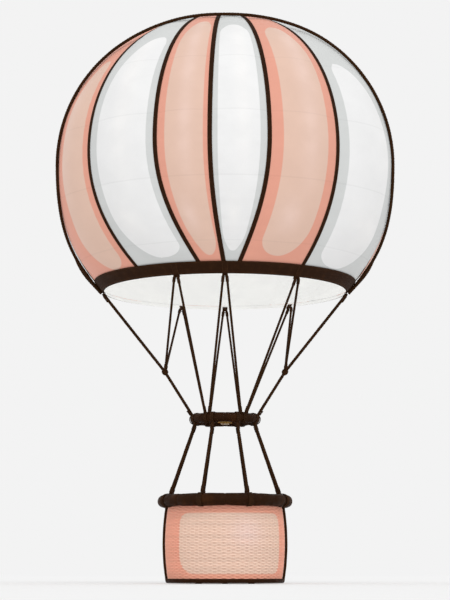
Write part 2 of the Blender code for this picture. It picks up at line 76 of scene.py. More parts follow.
class Slot(Enum):
    """Material slots of the record."""

    SALMON = "salmon_fabric"
    WHITE = "white_fabric"
    WEBBING = "webbing"
    ROPE = "rope"
    LEATHER = "leather"
    WICKER = "wicker"
    PLYWOOD = "plywood"
    HARDWOOD = "hardwood"
    STEEL = "steel"
    BRASS = "brass"
    ALUMINIUM = "aluminium"


# Finishes

BLEND = {"data_type": "RGBA"}
SMOOTH = {"interpolation_type": "SMOOTHSTEP"}
PLUS, MINUS, TIMES, OVER, POWER, SIZE, PART, MOST = (
    {"operation": name}
    for name in ("ADD", "SUBTRACT", "MULTIPLY", "DIVIDE", "POWER", "ABSOLUTE", "FRACT", "MAXIMUM"))
COLOUR_OUT = 2             # colour output of a Mix node
WAVE_OUT = 1               # factor output of a Wave texture


def linear(code: str) -> tuple:
    """Turn an sRGB hex colour to linear.

    Args:
        code: Six hex digits.

    Returns:
        Linear red, green and blue, and 1 for alpha.
    """
    parts = [int(code[i:i + 2], 16) / 255 for i in (0, 2, 4)]
    return (*[p / 12.92 if p <= 0.04045 else ((p + 0.055) / 1.055) ** 2.4 for p in parts], 1.0)


def wave_scale(period: float) -> float:
    """Scale of a wave texture whose bands are a period in metres apart."""
    return pi / (10 * period)


def add(tree: Tree, kind: str, inputs: dict | tuple = (), out: int | str = 0, **settings: object) -> Socket:
    """Add a shader node with its settings and links.

    Args:
        tree: Tree that takes the node.
        kind: Node type, without its ShaderNode prefix.
        inputs: Values, or outputs that feed the sockets, in order or by socket name or number.
        out: Name or number of the wanted output.
        settings: Properties of the node.

    Returns:
        The wanted output of the new node.
    """
    node = tree.nodes.new("ShaderNode" + kind)
    for key, value in settings.items():
        setattr(node, key, value)
    for key, value in (inputs if isinstance(inputs, dict) else dict(enumerate(inputs))).items():
        if isinstance(value, Socket):
            tree.links.new(value, node.inputs[key])
        else:
            node.inputs[key].default_value = value
    return node.outputs[out]


@dataclass
class Surface:
    """What a finish draws for its shader."""

    colour: Socket
    height: Socket             # relief, from 0 to about 1
    depth: float               # metres of a full step of the relief
    strength: float = 1.0
    rough: Socket | None = None


@dataclass(frozen=True)
class Finish:
    """A real material. Its subclasses draw its colour and its surface."""

    name: str
    colour: str
    rough: float = 0.6
    metallic: float = 0.0
    shine: float = 0.5
    fixed: tuple = ()          # more shader sockets and their values

    def material(self) -> bpy.types.Material:
        """Make the material the first time, and find it later.

        Returns:
            The material.
        """
        made = bpy.data.materials.get(self.name)
        if made is None:
            made = bpy.data.materials.new(self.name)
            made.use_nodes = True
            tree = made.node_tree
            shader = tree.nodes["Principled BSDF"]
            values = {"Roughness": self.rough, "Metallic": self.metallic, "Specular IOR Level": self.shine}
            for socket, value in (values | dict(self.fixed)).items():
                shader.inputs[socket].default_value = value
            face = self.draw(tree)
            relief = add(tree, "Bump", {"Height": face.height, "Distance": face.depth, "Strength": face.strength})
            for socket, feed in (("Base Color", face.colour), ("Roughness", face.rough), ("Normal", relief)):
                if feed is not None:
                    tree.links.new(feed, shader.inputs[socket])
        return made

    def draw(self, tree: Tree) -> Surface:
        """Draw the colour and the surface. A subclass gives its own.

        Args:
            tree: Node tree of the material.

        Returns:
            What feeds the shader.
        """
        raise NotImplementedError


@dataclass(frozen=True)
class CoatedNylon(Finish):
    """Ripstop nylon, woven and coated: a soft even sheen, a faint grid, a darker border round a paler heart as painted
    shade and light of the swelling lobe, and painted highlights in the heart.

    The grid is drawn every 40 mm, eight times as wide as the real one, so that it shows.
    """

    heart: str = "eeeeee"
    painted_highlight: str = "eeeeee"
    rough: float = 0.62
    fixed: tuple = (("Sheen Weight", 0.1),)
    cloud: float = 0.55            # size of the uneven places in the dye, which also break up the painted highlights
    edge: float = 0.006            # half the width of the border's edge
    panel: float = 1.08            # from one seam across the gore to the next
    grid: float = 0.04

    def draw(self, tree: Tree) -> Surface:
        """Painted-shade border, paler heart and painted highlights by the piece's attributes, panel seams and grid by
        its cut.

        Args:
            tree: Node tree of the material.

        Returns:
            What feeds the shader.
        """
        cut = add(tree, "UVMap", uv_map="cut")
        patch, painted_highlight = (add(tree, "Attribute", (), "Fac", attribute_name=name) for name in ("patch", "painted_highlight"))
        cloud = add(tree, "TexNoise", {"Vector": cut, "Scale": 1 / self.cloud, "Detail": 4.0})
        # painted highlight in the heart, broken up by the uneven dye
        lit = add(tree, "Math", (painted_highlight, add(tree, "MapRange", (cloud, 0.35, 0.65, 0.6, 1.0), **SMOOTH)), **TIMES)
        heart = add(tree, "Mix", {0: lit, 6: linear(self.heart), 7: linear(self.painted_highlight)}, COLOUR_OUT, **BLEND)
        # darker border along the seams and the ends: painted shade of the swelling lobe
        inside = add(tree, "MapRange", (patch, -self.edge, self.edge), **SMOOTH)
        base = add(tree, "Mix", {0: inside, 6: linear(self.colour), 7: heart}, COLOUR_OUT, **BLEND)
        along = add(tree, "Math", (add(tree, "SeparateXYZ", (cut,), 1), self.panel), **OVER)
        part = add(tree, "Math", (add(tree, "Math", (along,), **PART), 0.5), **MINUS)
        seam = add(tree, "MapRange", (add(tree, "Math", (part,), **SIZE), 0.008, 0.012), **SMOOTH)
        shade = add(tree, "Math", (add(tree, "MapRange", (cloud, 0.3, 0.7, 0.965, 1.0), **SMOOTH),
                                   add(tree, "MapRange", (seam, 0.0, 1.0, 0.955, 1.0), **SMOOTH)), **TIMES)
        tint = add(tree, "CombineColor", (shade, shade, shade))
        colour = add(tree, "Mix", {0: 1.0, 6: base, 7: tint}, COLOUR_OUT, blend_type="MULTIPLY", **BLEND)
        threads = {"Vector": cut, "Scale": wave_scale(self.grid)}
        lines = [add(tree, "Math", (add(tree, "TexWave", threads, WAVE_OUT, bands_direction=way), 12.0), **POWER)
                 for way in "XY"]
        grid = add(tree, "Math", (add(tree, "Math", tuple(lines), **MOST), 0.35), **TIMES)
        return Surface(colour, add(tree, "Math", (grid, seam), **PLUS), 0.0012, 0.6)


@dataclass(frozen=True)
class Lining(Finish):
    """Inner face of the nylon: pale coating with a painted glow, an even emission that stands in for the daylight
    coming through the thin cloth.
    """

    rough: float = 0.7
    shine: float = 0.2
    # emission: painted light, the cloth is no lamp
    fixed: tuple = (("Emission Color", linear("f2f2f2")), ("Emission Strength", 0.21))
    pale: str = "f2f2f0"
    cloud: float = 0.4
    fold: float = 0.05

    def draw(self, tree: Tree) -> Surface:
        """Pale cloth with faint folds.

        Args:
            tree: Node tree of the material.

        Returns:
            What feeds the shader.
        """
        spot = add(tree, "TexCoord", (), "Object")
        cloud, folds = (add(tree, "TexNoise", {"Vector": spot, "Scale": 1 / size, "Detail": 3.0})
                        for size in (self.cloud, self.fold))
        share = add(tree, "MapRange", (cloud, 0.3, 0.7), **SMOOTH)
        colour = add(tree, "Mix", {0: share, 6: linear(self.colour), 7: linear(self.pale)}, COLOUR_OUT, **BLEND)
        return Surface(colour, folds, 0.001, 0.4)


@dataclass(frozen=True)
class Webbing(Finish):
    """Polyester webbing, woven in a chevron and sewn down along both edges: dull, with a line of paler stitches.

    The chevrons are 9 mm, three times the real ones, so that they show. The stitches are 12 mm.
    """

    rough: float = 0.8
    shine: float = 0.08
    stitch: float = 0.030          # how far the stitching is from the middle
    thread: str = "5a3d26"
    raised: str = "38200e"
    dust: str = "452a14"
    chevron: float = 0.009
    rib: float = 0.0125
    stitch_length: float = 0.012
    dusting: float = 0.12          # size of the dusty places

    def draw(self, tree: Tree) -> Surface:
        """Chevrons, dust and stitches.

        Args:
            tree: Node tree of the material.

        Returns:
            What feeds the shader.
        """
        cut = add(tree, "UVMap", uv_map="cut")
        across = add(tree, "Math", (add(tree, "SeparateXYZ", (cut,)),), **SIZE)
        slant = add(tree, "CombineXYZ", (add(tree, "Math", (add(tree, "SeparateXYZ", (cut,), 1), across), **PLUS),))
        chevron, rib, step = (
            add(tree, "TexWave", {"Vector": vector, "Scale": wave_scale(period)}, WAVE_OUT, bands_direction=way)
            for vector, period, way in ((slant, self.chevron, "X"), (cut, self.rib, "X"),
                                        (cut, self.stitch_length, "Y")))
        weave = add(tree, "Math", (chevron, add(tree, "MapRange", (rib, 0.0, 1.0, 0.5, 1.0), **SMOOTH)), **TIMES)
        raised = add(tree, "MapRange", (weave, 0.1, 0.9, 0.0, 0.6), **SMOOTH)
        base = add(tree, "Mix", {0: raised, 6: linear(self.colour), 7: linear(self.raised)}, COLOUR_OUT, **BLEND)
        dust = add(tree, "TexNoise", {"Vector": cut, "Scale": 1 / self.dusting, "Detail": 3.0})
        dusty = add(tree, "MapRange", (dust, 0.45, 0.75, 0.0, 0.25), **SMOOTH)
        base = add(tree, "Mix", {0: dusty, 6: base, 7: linear(self.dust)}, COLOUR_OUT, **BLEND)
        off = add(tree, "Math", (add(tree, "Math", (across, self.stitch), **MINUS),), **SIZE)
        line = add(tree, "MapRange", (off, 0.0010, 0.0022, 1.0, 0.0), **SMOOTH)
        sewn = add(tree, "Math", (line, add(tree, "MapRange", (step, 0.25, 0.4), **SMOOTH)), **TIMES)
        colour = add(tree, "Mix", {0: sewn, 6: base, 7: linear(self.thread)}, COLOUR_OUT, **BLEND)
        height = add(tree, "Math", (add(tree, "Math", (weave, 0.5), **TIMES), sewn), **PLUS)
        return Surface(colour, height, 0.0016, 0.8)


@dataclass(frozen=True)
class LaidFibre(Finish):
    """Rope or twine of laid fibres: matt, with fine hairs that run along each strand."""

    fibre: float = 0.004
    pale: str = "452b14"
    worn: str = "221204"
    rub: float = 0.2               # size of the worn places

    def draw(self, tree: Tree) -> Surface:
        """Streaky dark fibres, with darker worn places.

        Args:
            tree: Node tree of the material.

        Returns:
            What feeds the shader.
        """
        spot = add(tree, "TexCoord", (), "Object")
        upright = add(tree, "Mapping", {"Vector": spot, "Scale": (1.0, 1.0, 0.35)})
        hairs = add(tree, "TexNoise", {"Vector": upright, "Scale": 1 / self.fibre, "Detail": 2.0})
        rubbed = add(tree, "TexNoise", {"Vector": spot, "Scale": 1 / self.rub, "Detail": 3.0})
        share = add(tree, "MapRange", (hairs, 0.35, 0.7), **SMOOTH)
        base = add(tree, "Mix", {0: share, 6: linear(self.colour), 7: linear(self.pale)}, COLOUR_OUT, **BLEND)
        worn = add(tree, "MapRange", (rubbed, 0.4, 0.7, 0.0, 0.45), **SMOOTH)
        colour = add(tree, "Mix", {0: worn, 6: base, 7: linear(self.worn)}, COLOUR_OUT, **BLEND)
        return Surface(colour, hairs, 0.0012, 0.7)


@dataclass(frozen=True)
class WaxedHide(Finish):
    """Waxed bridle leather, stretched over padding: fine pores, a waxy gloss and paler worn places.

    The pores are 6 mm, about four times the real ones, so that they show.
    """

    fixed: tuple = (("Coat Weight", 0.02), ("Coat Roughness", 0.35))
    pore: float = 0.006
    crease: float = 0.09
    rub: float = 0.25              # size of the worn places
    deep: str = "1c0e03"
    worn: str = "45260c"

    def draw(self, tree: Tree) -> Surface:
        """Grain, creases and wear.

        Args:
            tree: Node tree of the material.

        Returns:
            What feeds the shader.
        """
        spot = add(tree, "TexCoord", (), "Object")
        cells = add(tree, "TexVoronoi", {"Vector": spot, "Scale": 1 / self.pore}, feature="DISTANCE_TO_EDGE")
        crease, rubbed = (add(tree, "TexNoise", {"Vector": spot, "Scale": 1 / size, "Detail": detail})
                          for size, detail in ((self.crease, 5.0), (self.rub, 3.0)))
        grain = add(tree, "MapRange", (cells, 0.0, 0.12), **SMOOTH)
        base = add(tree, "Mix", {0: grain, 6: linear(self.deep), 7: linear(self.colour)}, COLOUR_OUT, **BLEND)
        wear = add(tree, "MapRange", (rubbed, 0.5, 0.75, 0.0, 0.5), **SMOOTH)
        colour = add(tree, "Mix", {0: wear, 6: base, 7: linear(self.worn)}, COLOUR_OUT, **BLEND)
        rough = add(tree, "MapRange", (crease, 0.3, 0.7, self.rough - 0.08, self.rough + 0.12), **SMOOTH)
        height = add(tree, "Math", (add(tree, "Math", (grain, 0.4), **TIMES), crease), **PLUS)
        return Surface(colour, height, 0.003, 0.6, rough)


@dataclass(frozen=True)
class StainedCane(Finish):
    """Split cane, woven damp and stained: long fibres, each rod a shade of its own, darker where rods cross; a darker
    border round a paler heart is painted shade, with a painted highlight in the heart.
    """

    heart: str = "e3c1ae"
    glow: str = "e8c7b8"
    edge: float = 0.012            # half the width of the border's edge
    fibre: float = 0.03

    def draw(self, tree: Tree) -> Surface:
        """Painted-shade border, paler heart and painted highlight by attribute, rods by their own shade, fibres along
        the rods.

        Args:
            tree: Node tree of the material.

        Returns:
            What feeds the shader.
        """
        patch, painted_highlight, rod_shade = (add(tree, "Attribute", (), "Fac", attribute_name=name)
                                    for name in ("patch", "painted_highlight", "rod"))
        # painted highlight in the paler heart
        heart = add(tree, "Mix", {0: painted_highlight, 6: linear(self.heart), 7: linear(self.glow)}, COLOUR_OUT, **BLEND)
        # darker border round each front and back panel: painted shade
        inside = add(tree, "MapRange", (patch, -self.edge, self.edge), **SMOOTH)
        base = add(tree, "Mix", {0: inside, 6: linear(self.colour), 7: heart}, COLOUR_OUT, **BLEND)
        flat = add(tree, "Mapping", {"Vector": add(tree, "TexCoord", (), "Object"), "Scale": (1.0, 1.0, 9.0)})
        fibre = add(tree, "TexNoise", {"Vector": flat, "Scale": 1 / self.fibre, "Detail": 3.0})
        shade = add(tree, "Math", (add(tree, "MapRange", (fibre, 0.3, 0.7, 0.92, 1.0), **SMOOTH),
                                   add(tree, "MapRange", (rod_shade, 0.0, 1.0, 0.93, 1.03), **SMOOTH)), **TIMES)
        tint = add(tree, "CombineColor", (shade, shade, shade))
        colour = add(tree, "Mix", {0: 1.0, 6: base, 7: tint}, COLOUR_OUT, blend_type="MULTIPLY", **BLEND)
        return Surface(colour, fibre, 0.001, 0.6)


@dataclass(frozen=True)
class Grained(Finish):
    """Wood that shows its grain along one axis: birch ply for the floor, oiled ash for the runners."""

    dark: str = "8d6a4a"
    along: tuple = (1.0, 0.12, 1.0)
    grain: float = 0.012

    def draw(self, tree: Tree) -> Surface:
        """Long grain lines that wander.

        Args:
            tree: Node tree of the material.

        Returns:
            What feeds the shader.
        """
        spot = add(tree, "Mapping", {"Vector": add(tree, "TexCoord", (), "Object"), "Scale": self.along})
        rings, figure = (add(tree, "TexNoise", {"Vector": spot, "Scale": 1 / size, "Detail": detail})
                         for size, detail in ((self.grain, 4.0), (self.grain * 8, 2.0)))
        line = add(tree, "Math", (rings, add(tree, "MapRange", (figure, 0.3, 0.7, 0.6, 1.2), **SMOOTH)), **TIMES)
        share = add(tree, "MapRange", (line, 0.3, 0.6), **SMOOTH)
        colour = add(tree, "Mix", {0: share, 6: linear(self.colour), 7: linear(self.dark)}, COLOUR_OUT, **BLEND)
        return Surface(colour, rings, 0.0008, 0.5)


@dataclass(frozen=True)
class BareMetal(Finish):
    """Metal as it was shaped: fine drawn or turned lines, a cloudy polish and, on the burner, heat tints."""

    tint: str = "c9b27e"
    lines: tuple = (1.0, 1.0, 14.0)    # how much finer the pattern is along each axis
    line: float = 0.02
    cloud: float = 0.06            # size of the clouds in the polish
    metallic: float = 1.0
    rough: float = 0.32

    def draw(self, tree: Tree) -> Surface:
        """Lines, clouds and tint.

        Args:
            tree: Node tree of the material.

        Returns:
            What feeds the shader.
        """
        spot = add(tree, "TexCoord", (), "Object")
        fine = add(tree, "Mapping", {"Vector": spot, "Scale": self.lines})
        lines, cloud = (add(tree, "TexNoise", {"Vector": vector, "Scale": 1 / size, "Detail": 3.0})
                        for vector, size in ((fine, self.line), (spot, self.cloud)))
        share = add(tree, "MapRange", (cloud, 0.45, 0.75, 0.0, 0.6), **SMOOTH)
        colour = add(tree, "Mix", {0: share, 6: linear(self.colour), 7: linear(self.tint)}, COLOUR_OUT, **BLEND)
        rough = add(tree, "MapRange", (lines, 0.3, 0.7, self.rough - 0.06, self.rough + 0.14), **SMOOTH)
        return Surface(colour, lines, 0.0004, 0.4, rough)


# Each nylon's colour is its border of painted shade; its two lighter colours are the paler heart and the painted
# highlight.
SALMON = CoatedNylon("salmon ripstop nylon, dyed and coated", "e09d88", shine=0.3, heart="ddbba9", painted_highlight="e4c5b7")
WHITE = CoatedNylon("white ripstop nylon, coated", "ced0cf", shine=0.3, heart="e9e9e9", painted_highlight="eeedec")
# Inner faces of the gores and the vent panel glow with painted light.
INSIDE = Lining("nylon lining, coated pale", "ebebea")
TAPE = Webbing("polyester webbing, woven and sewn", "261306")
BAND = Webbing("mouth band webbing, woven and sewn in three rows", "261306", stitch=0.075)
# The mouth band's facing glows with the same painted light.
FACING = Lining("pale facing of the mouth band", "e9e8e6")
ROPE = LaidFibre("hemp rope, laid and tarred", "271406", rough=0.9, shine=0.08)
TWINE = LaidFibre("waxed twine, laid", "2e190a", rough=0.75, shine=0.12, fibre=0.002)
HIDE = WaxedHide("bridle leather, waxed", "2d1502", rough=0.6, shine=0.06)
# The cane's colour is the border of painted shade, heart its paler middle and glow its painted highlight.
CANE = StainedCane("split cane, stained and woven", "fcb59b", rough=0.62, shine=0.3, heart="f7d6c2", glow="fadcd0")
FLOORING = Grained("birch plywood, varnished", "c8a47c", rough=0.45, dark="a88058", along=(0.1, 1.0, 1.0))
RUNNER = Grained("ash runner, oiled", "7a5638", rough=0.6, dark="4e3420")
STEEL = BareMetal("stainless steel, drawn and heat tinted", "b4b1ac", tint="b59a6a")
FORGED = BareMetal("steel fittings, forged and browned", "3a2b20", tint="2a1c12", rough=0.55)
BRASS = BareMetal("brass, machined", "94743f", tint="7a5a2c", lines=(14.0, 1.0, 1.0), rough=0.4)
ALLOY = BareMetal("aluminium, spun", "b9bbbd", tint="a7a9ab", rough=0.4)


# Modelling helpers

def alone(thing: Thing | None = None) -> None:
    """Deselect everything, and select and activate one object if it is given.

    Args:
        thing: The object.
    """
    bpy.ops.object.select_all(action="DESELECT")
    if thing:
        thing.select_set(True)
        bpy.context.view_layer.objects.active = thing


def around(turn: object, radius: object, height: object, aside: object = 0.0) -> Grid:
    """Points at azimuths in radians.

    Args:
        turn: Azimuths.
        radius: Distances from the axis.
        height: Heights over the basket's underside.
        aside: Steps square to the radius.

    Returns:
        Array whose last axis is the place.
    """
    turn, radius, height, aside = np.broadcast_arrays(*[np.asarray(v, float) for v in (turn, radius, height, aside)])
    return np.stack([radius * np.sin(turn) + aside * np.cos(turn), aside * np.sin(turn) - radius * np.cos(turn),
                     height - AIR_CENTRE], axis=-1)


def oval(centre: tuple, radii: tuple, count: int) -> list:
    """Points of an oval.

    Args:
        centre: Its middle.
        radii: Its two radii.
        count: Number of points.

    Returns:
        Two coordinates for each point.
    """
    return [(centre[0] + radii[0] * cos(2 * pi * i / count), centre[1] + radii[1] * sin(2 * pi * i / count))
            for i in range(count)]


def both_sides(section: tuple) -> tuple:
    """Mirror the section of a strap.

    Args:
        section: Distance from the middle, and lift, at each point from the middle to the edge.

    Returns:
        Distances and lifts from edge to edge, each as a column.
    """
    half = np.array(section)
    whole = np.concatenate([half[:0:-1] * (-1, 1), half])
    return whole[:, :1], whole[:, 1:]


def closed_up(thing: Thing) -> Thing:
    """Merge a mesh's doubles and turn its faces outwards.

    Args:
        thing: Piece.

    Returns:
        The piece.
    """
    alone(thing)
    bpy.ops.object.mode_set(mode="EDIT")
    bpy.ops.mesh.select_all(action="SELECT")
    bpy.ops.mesh.remove_doubles(threshold=MERGE)
    bpy.ops.mesh.normals_make_consistent(inside=False)
    bpy.ops.object.mode_set(mode="OBJECT")
    return thing


def smooth(thing: Thing, angle: float = 35.0) -> Thing:
    """Shade a piece smooth where its faces meet at less than an angle.

    Args:
        thing: Piece.
        angle: The angle in degrees.

    Returns:
        The piece.
    """
    alone(thing)
    bpy.ops.object.shade_smooth_by_angle(angle=radians(angle))
    return thing


def modified(thing: Thing, kind: str, **settings: object) -> Thing:
    """Add a modifier and apply it.

    Args:
        thing: Piece.
        kind: Modifier type.
        settings: Its properties.

    Returns:
        The piece.
    """
    alone(thing)
    change = thing.modifiers.new(kind.lower(), kind)
    for key, value in settings.items():
        setattr(change, key, value)
    bpy.ops.object.modifier_apply(modifier=change.name)
    return thing


def joined(things: Sequence[Thing]) -> Thing:
    """Join pieces into one object, with its place and turn in its mesh.

    Args:
        things: Pieces.

    Returns:
        The object.
    """
    alone(things[0])
    for thing in things:
        thing.select_set(True)
    if len(things) > 1:
        bpy.ops.object.join()
    bpy.ops.object.transform_apply(location=True, rotation=True, scale=True)
    return bpy.context.object


def lofted(spots: Grid, cut: Grid | None = None, marks: dict | None = None, weld: bool = False) -> Thing:
    """Skin through a grid of places, from a primitive grid.

    Args:
        spots: Places, as columns by rows by 3.
        cut: Places on the flat cloth in metres, as columns by rows by 2.
        marks: Attribute names and their values, as columns by rows.
        weld: Whether its edges meet and are merged.

    Returns:
        The object.
    """
    columns, rows = spots.shape[0] - 1, spots.shape[1] - 1
    alone()
    bpy.ops.mesh.primitive_grid_add(x_subdivisions=columns, y_subdivisions=rows, size=1.0, calc_uvs=True)
    thing = bpy.context.object
    mesh = thing.data
    flat = np.empty(len(mesh.vertices) * 3)
    mesh.vertices.foreach_get("co", flat)
    column, row = (np.rint((flat[axis::3] + 0.5) * count).astype(int) for axis, count in enumerate((columns, rows)))
    mesh.vertices.foreach_set("co", spots[column, row].ravel())
    mesh.uv_layers[0].name = "cut"
    if cut is not None:
        corners = np.empty(len(mesh.loops), int)
        mesh.loops.foreach_get("vertex_index", corners)
        mesh.uv_layers[0].data.foreach_set("uv", cut[column, row][corners].ravel())
    for mark, values in (marks or {}).items():
        made = mesh.attributes.new(mark, "FLOAT", "POINT")
        made.data.foreach_set("value", np.ascontiguousarray(values[column, row], float))
    mesh.update()
    return closed_up(thing) if weld else thing


def drawn(runs: Sequence[Grid], radius: float, sides: int = 6, closed: bool = False) -> Thing:
    """Round stock along one or more lines, as a mesh.

    Args:
        runs: Each line's places.
        radius: Radius of the stock.
        sides: Sides of its section, an even number from 4.
        closed: Whether each line closes.

    Returns:
        The object.
    """
    curve = bpy.data.curves.new("stock", "CURVE")
    curve.dimensions = "3D"
    curve.bevel_depth = radius
    curve.bevel_resolution = sides // 2 - 2
    curve.use_fill_caps = not closed
    for run in runs:
        spline = curve.splines.new("POLY")
        spline.points.add(len(run) - 1)
        spline.points.foreach_set("co", np.column_stack([run, np.ones(len(run))]).ravel())
        spline.use_cyclic_u = closed
    thing = bpy.data.objects.new("stock", curve)
    bpy.context.scene.collection.objects.link(thing)
    alone(thing)
    bpy.ops.object.convert(target="MESH")
    return smooth(closed_up(bpy.context.object), 60.0)


def spun(outline: Sequence[tuple], steps: int, closed: bool = True, centre: tuple = (0.0, 0.0),
         origin: float = AIR_CENTRE) -> Thing:
    """Turned piece: an outline spun about an upright axis.

    Args:
        outline: Its radius and height at each point.
        steps: Sides.
        closed: Whether the outline closes on itself.
        centre: Place of the axis.
        origin: Height that is 0 in the mesh.

    Returns:
        The object.
    """
    mesh = bpy.data.meshes.new("turned")
    places = [(centre[0] + radius, centre[1], height - origin) for radius, height in outline]
    last = len(places) - 1
    mesh.from_pydata(places, [(i, i + 1) for i in range(last)] + [(last, 0)] * closed, [])
    thing = bpy.data.objects.new("turned", mesh)
    bpy.context.scene.collection.objects.link(thing)
    alone(thing)
    bpy.ops.object.mode_set(mode="EDIT")
    bpy.ops.mesh.select_all(action="SELECT")
    bpy.ops.mesh.spin(steps=steps, angle=2 * pi, center=(*centre, 0.0), axis=(0.0, 0.0, 1.0))
    bpy.ops.object.mode_set(mode="OBJECT")
    return smooth(closed_up(thing))


def block(size: Sequence[float], centre: Sequence[float], edge: float = 0.003) -> Thing:
    """Squared piece with rounded edges.

    Args:
        size: Its sides.
        centre: Its middle.
        edge: Radius of the edges.

    Returns:
        The object.
    """
    alone()
    bpy.ops.mesh.primitive_cube_add(size=1.0, location=centre)
    thing = bpy.context.object
    thing.scale = size
    bpy.ops.object.transform_apply(location=True, rotation=True, scale=True)
    bpy.ops.object.mode_set(mode="EDIT")
    bpy.ops.mesh.select_all(action="SELECT")
    bpy.ops.mesh.bevel(offset=edge, segments=3, affect="EDGES")
    bpy.ops.object.mode_set(mode="OBJECT")
    return smooth(thing)


def rod(radius: float, start: Sequence[float], end: Sequence[float], sides: int = 24, edge: float = 0.0015) -> Thing:
    """Round bar from one place to another, with broken edges.

    Args:
        radius: Its radius.
        start: One end.
        end: The other end.
        sides: Its sides.
        edge: Width of the broken edges.

    Returns:
        The object.
    """
    start, end = Vector(start), Vector(end)
    run = end - start
    alone()
    bpy.ops.mesh.primitive_cylinder_add(vertices=sides, radius=radius, depth=run.length, location=(start + end) / 2,
                                        rotation=run.to_track_quat("Z", "Y").to_euler())
    thing = bpy.context.object
    bpy.ops.object.transform_apply(location=True, rotation=True, scale=True)
    bpy.ops.object.mode_set(mode="EDIT")
    bpy.ops.mesh.select_all(action="DESELECT")
    shape = bmesh.from_edit_mesh(thing.data)
    for face in shape.faces:
        face.select = len(face.verts) > 4
    shape.select_flush_mode()
    bmesh.update_edit_mesh(thing.data)
    bpy.ops.mesh.bevel(offset=edge, segments=2)
    bpy.ops.object.mode_set(mode="OBJECT")
    return smooth(thing)


def deliver(piece: Thing, name: str, slot: Slot, finish: Finish | None, *nodes: str,
            body: Body = Body.BALLOON) -> Thing:
    """Give a piece its name, its finish, its body and the nodes that it stands for.

    Args:
        piece: The finished piece.
        name: Its name.
        slot: Slot of the record; not used.
        finish: Its finish, or None where it already has its own.
        nodes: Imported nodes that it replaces.
        body: Body that it rides on.

    Returns:
        The piece.
    """
    piece.name = piece.data.name = name
    if finish:
        piece.data.materials.clear()
        piece.data.materials.append(finish.material())
    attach(piece, body.value)
    if nodes:
        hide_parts(*nodes)
    log.info("%s rides on %s, %d faces", name, body.value, len(piece.data.polygons))
    return piece


@dataclass(frozen=True)
class PaddedTube:
    """Leather cover sewn around a padded ring, which swells between its lacings."""

    radius: float
    height: float
    tube: float
    lacings: tuple             # azimuths in degrees
    held: float                # how far a lacing holds to each side, in degrees
    room: float                # how much thinner it starts
    cap: float                 # how far a vertex may move
    grid: tuple                # faces around and across
    crease: tuple              # depth, number around, twist, and how sharply they fade
    seam: tuple                # angle on the section, width and depth
    pressure: float = 4.0
    slack: float = 0.10        # spare leather, as a share of the cover's size
    frames: int = 20

    def build(self) -> Thing:
        """Make the cover.

        Returns:
            The piece.
        """
        turn = np.linspace(0, 2 * pi, self.grid[0] + 1)[:, None]
        angle = np.linspace(0, 2 * pi, self.grid[1] + 1)
        depth, count, twist, fade = self.crease
        crease = depth * np.sin(turn * count + twist * np.sin(angle)) * (1 - np.abs(np.sin(turn * 8)) ** fade)
        spot, width, sunk = self.seam
        seam = sunk * np.exp(-((np.mod(angle - spot + pi, 2 * pi) - pi) / width) ** 2)
        tube = self.tube - self.room + crease - seam
        spots = around(turn, self.radius + tube * np.cos(angle), self.height + tube * np.sin(angle))
        return smooth(self.swollen(lofted(spots, weld=True)), 60)

    def laced(self, places: Grid) -> list:
        """Vertices that the lacings hold.

        Args:
            places: Places of all vertices.

        Returns:
            Their numbers.
        """
        azimuth = np.degrees(np.arctan2(places[:, 0], -places[:, 1]))[:, None]
        off = np.abs(np.mod(azimuth - np.array(self.lacings) + 180, 360) - 180).min(axis=1)
        return np.flatnonzero(off < self.held).tolist()

    def swollen(self, thing: Thing) -> Thing:
        """Let the cover swell over its padding by cloth simulation, and keep the result as its mesh.

        Args:
            thing: Closed cover, a little thinner than its finished form.

        Returns:
            The piece.
        """
        alone(thing)
        start, end = np.empty((2, len(thing.data.vertices) * 3))
        thing.data.vertices.foreach_get("co", start)
        group = thing.vertex_groups.new(name="held")
        group.add(self.laced(start.reshape(-1, 3)), 1.0, "REPLACE")
        cloth = thing.modifiers.new("cover", "CLOTH")
        settings = {"quality": 5, "mass": 0.4, "tension_stiffness": 40, "compression_stiffness": 40,
                    "shear_stiffness": 20, "bending_stiffness": 0.5, "use_pressure": True,
                    "uniform_pressure_force": self.pressure, "shrink_min": -self.slack,
                    "vertex_group_mass": group.name}
        for key, value in settings.items():
            setattr(cloth.settings, key, value)
        cloth.settings.effector_weights.gravity = 0
        cloth.point_cache.frame_start, cloth.point_cache.frame_end = 1, self.frames
        for moment in range(1, self.frames + 1):
            bpy.context.scene.frame_set(moment)
        settled = thing.evaluated_get(bpy.context.evaluated_depsgraph_get()).data
        settled.vertices.foreach_get("co", end)
        step = (end - start).reshape(-1, 3)
        length = np.linalg.norm(step, axis=1)[:, None]
        step *= self.cap * np.tanh(length / self.cap) / np.maximum(length, 1e-9)
        log.info("the cover swells by %.1f mm on average", 1000 * np.linalg.norm(step, axis=1).mean())
        thing.modifiers.remove(cloth)
        thing.vertex_groups.clear()
        thing.data.vertices.foreach_set("co", start + step.ravel())
        bpy.context.scene.frame_set(1)
        return modified(thing, "SUBSURF", levels=1, render_levels=1)


# The object

@dataclass
class SeamLine:
    """Points along a seam, with their outward direction."""

    reach: Grid
    radius: Grid
    height: Grid
    fade: Grid
    out: Grid
    rise: Grid


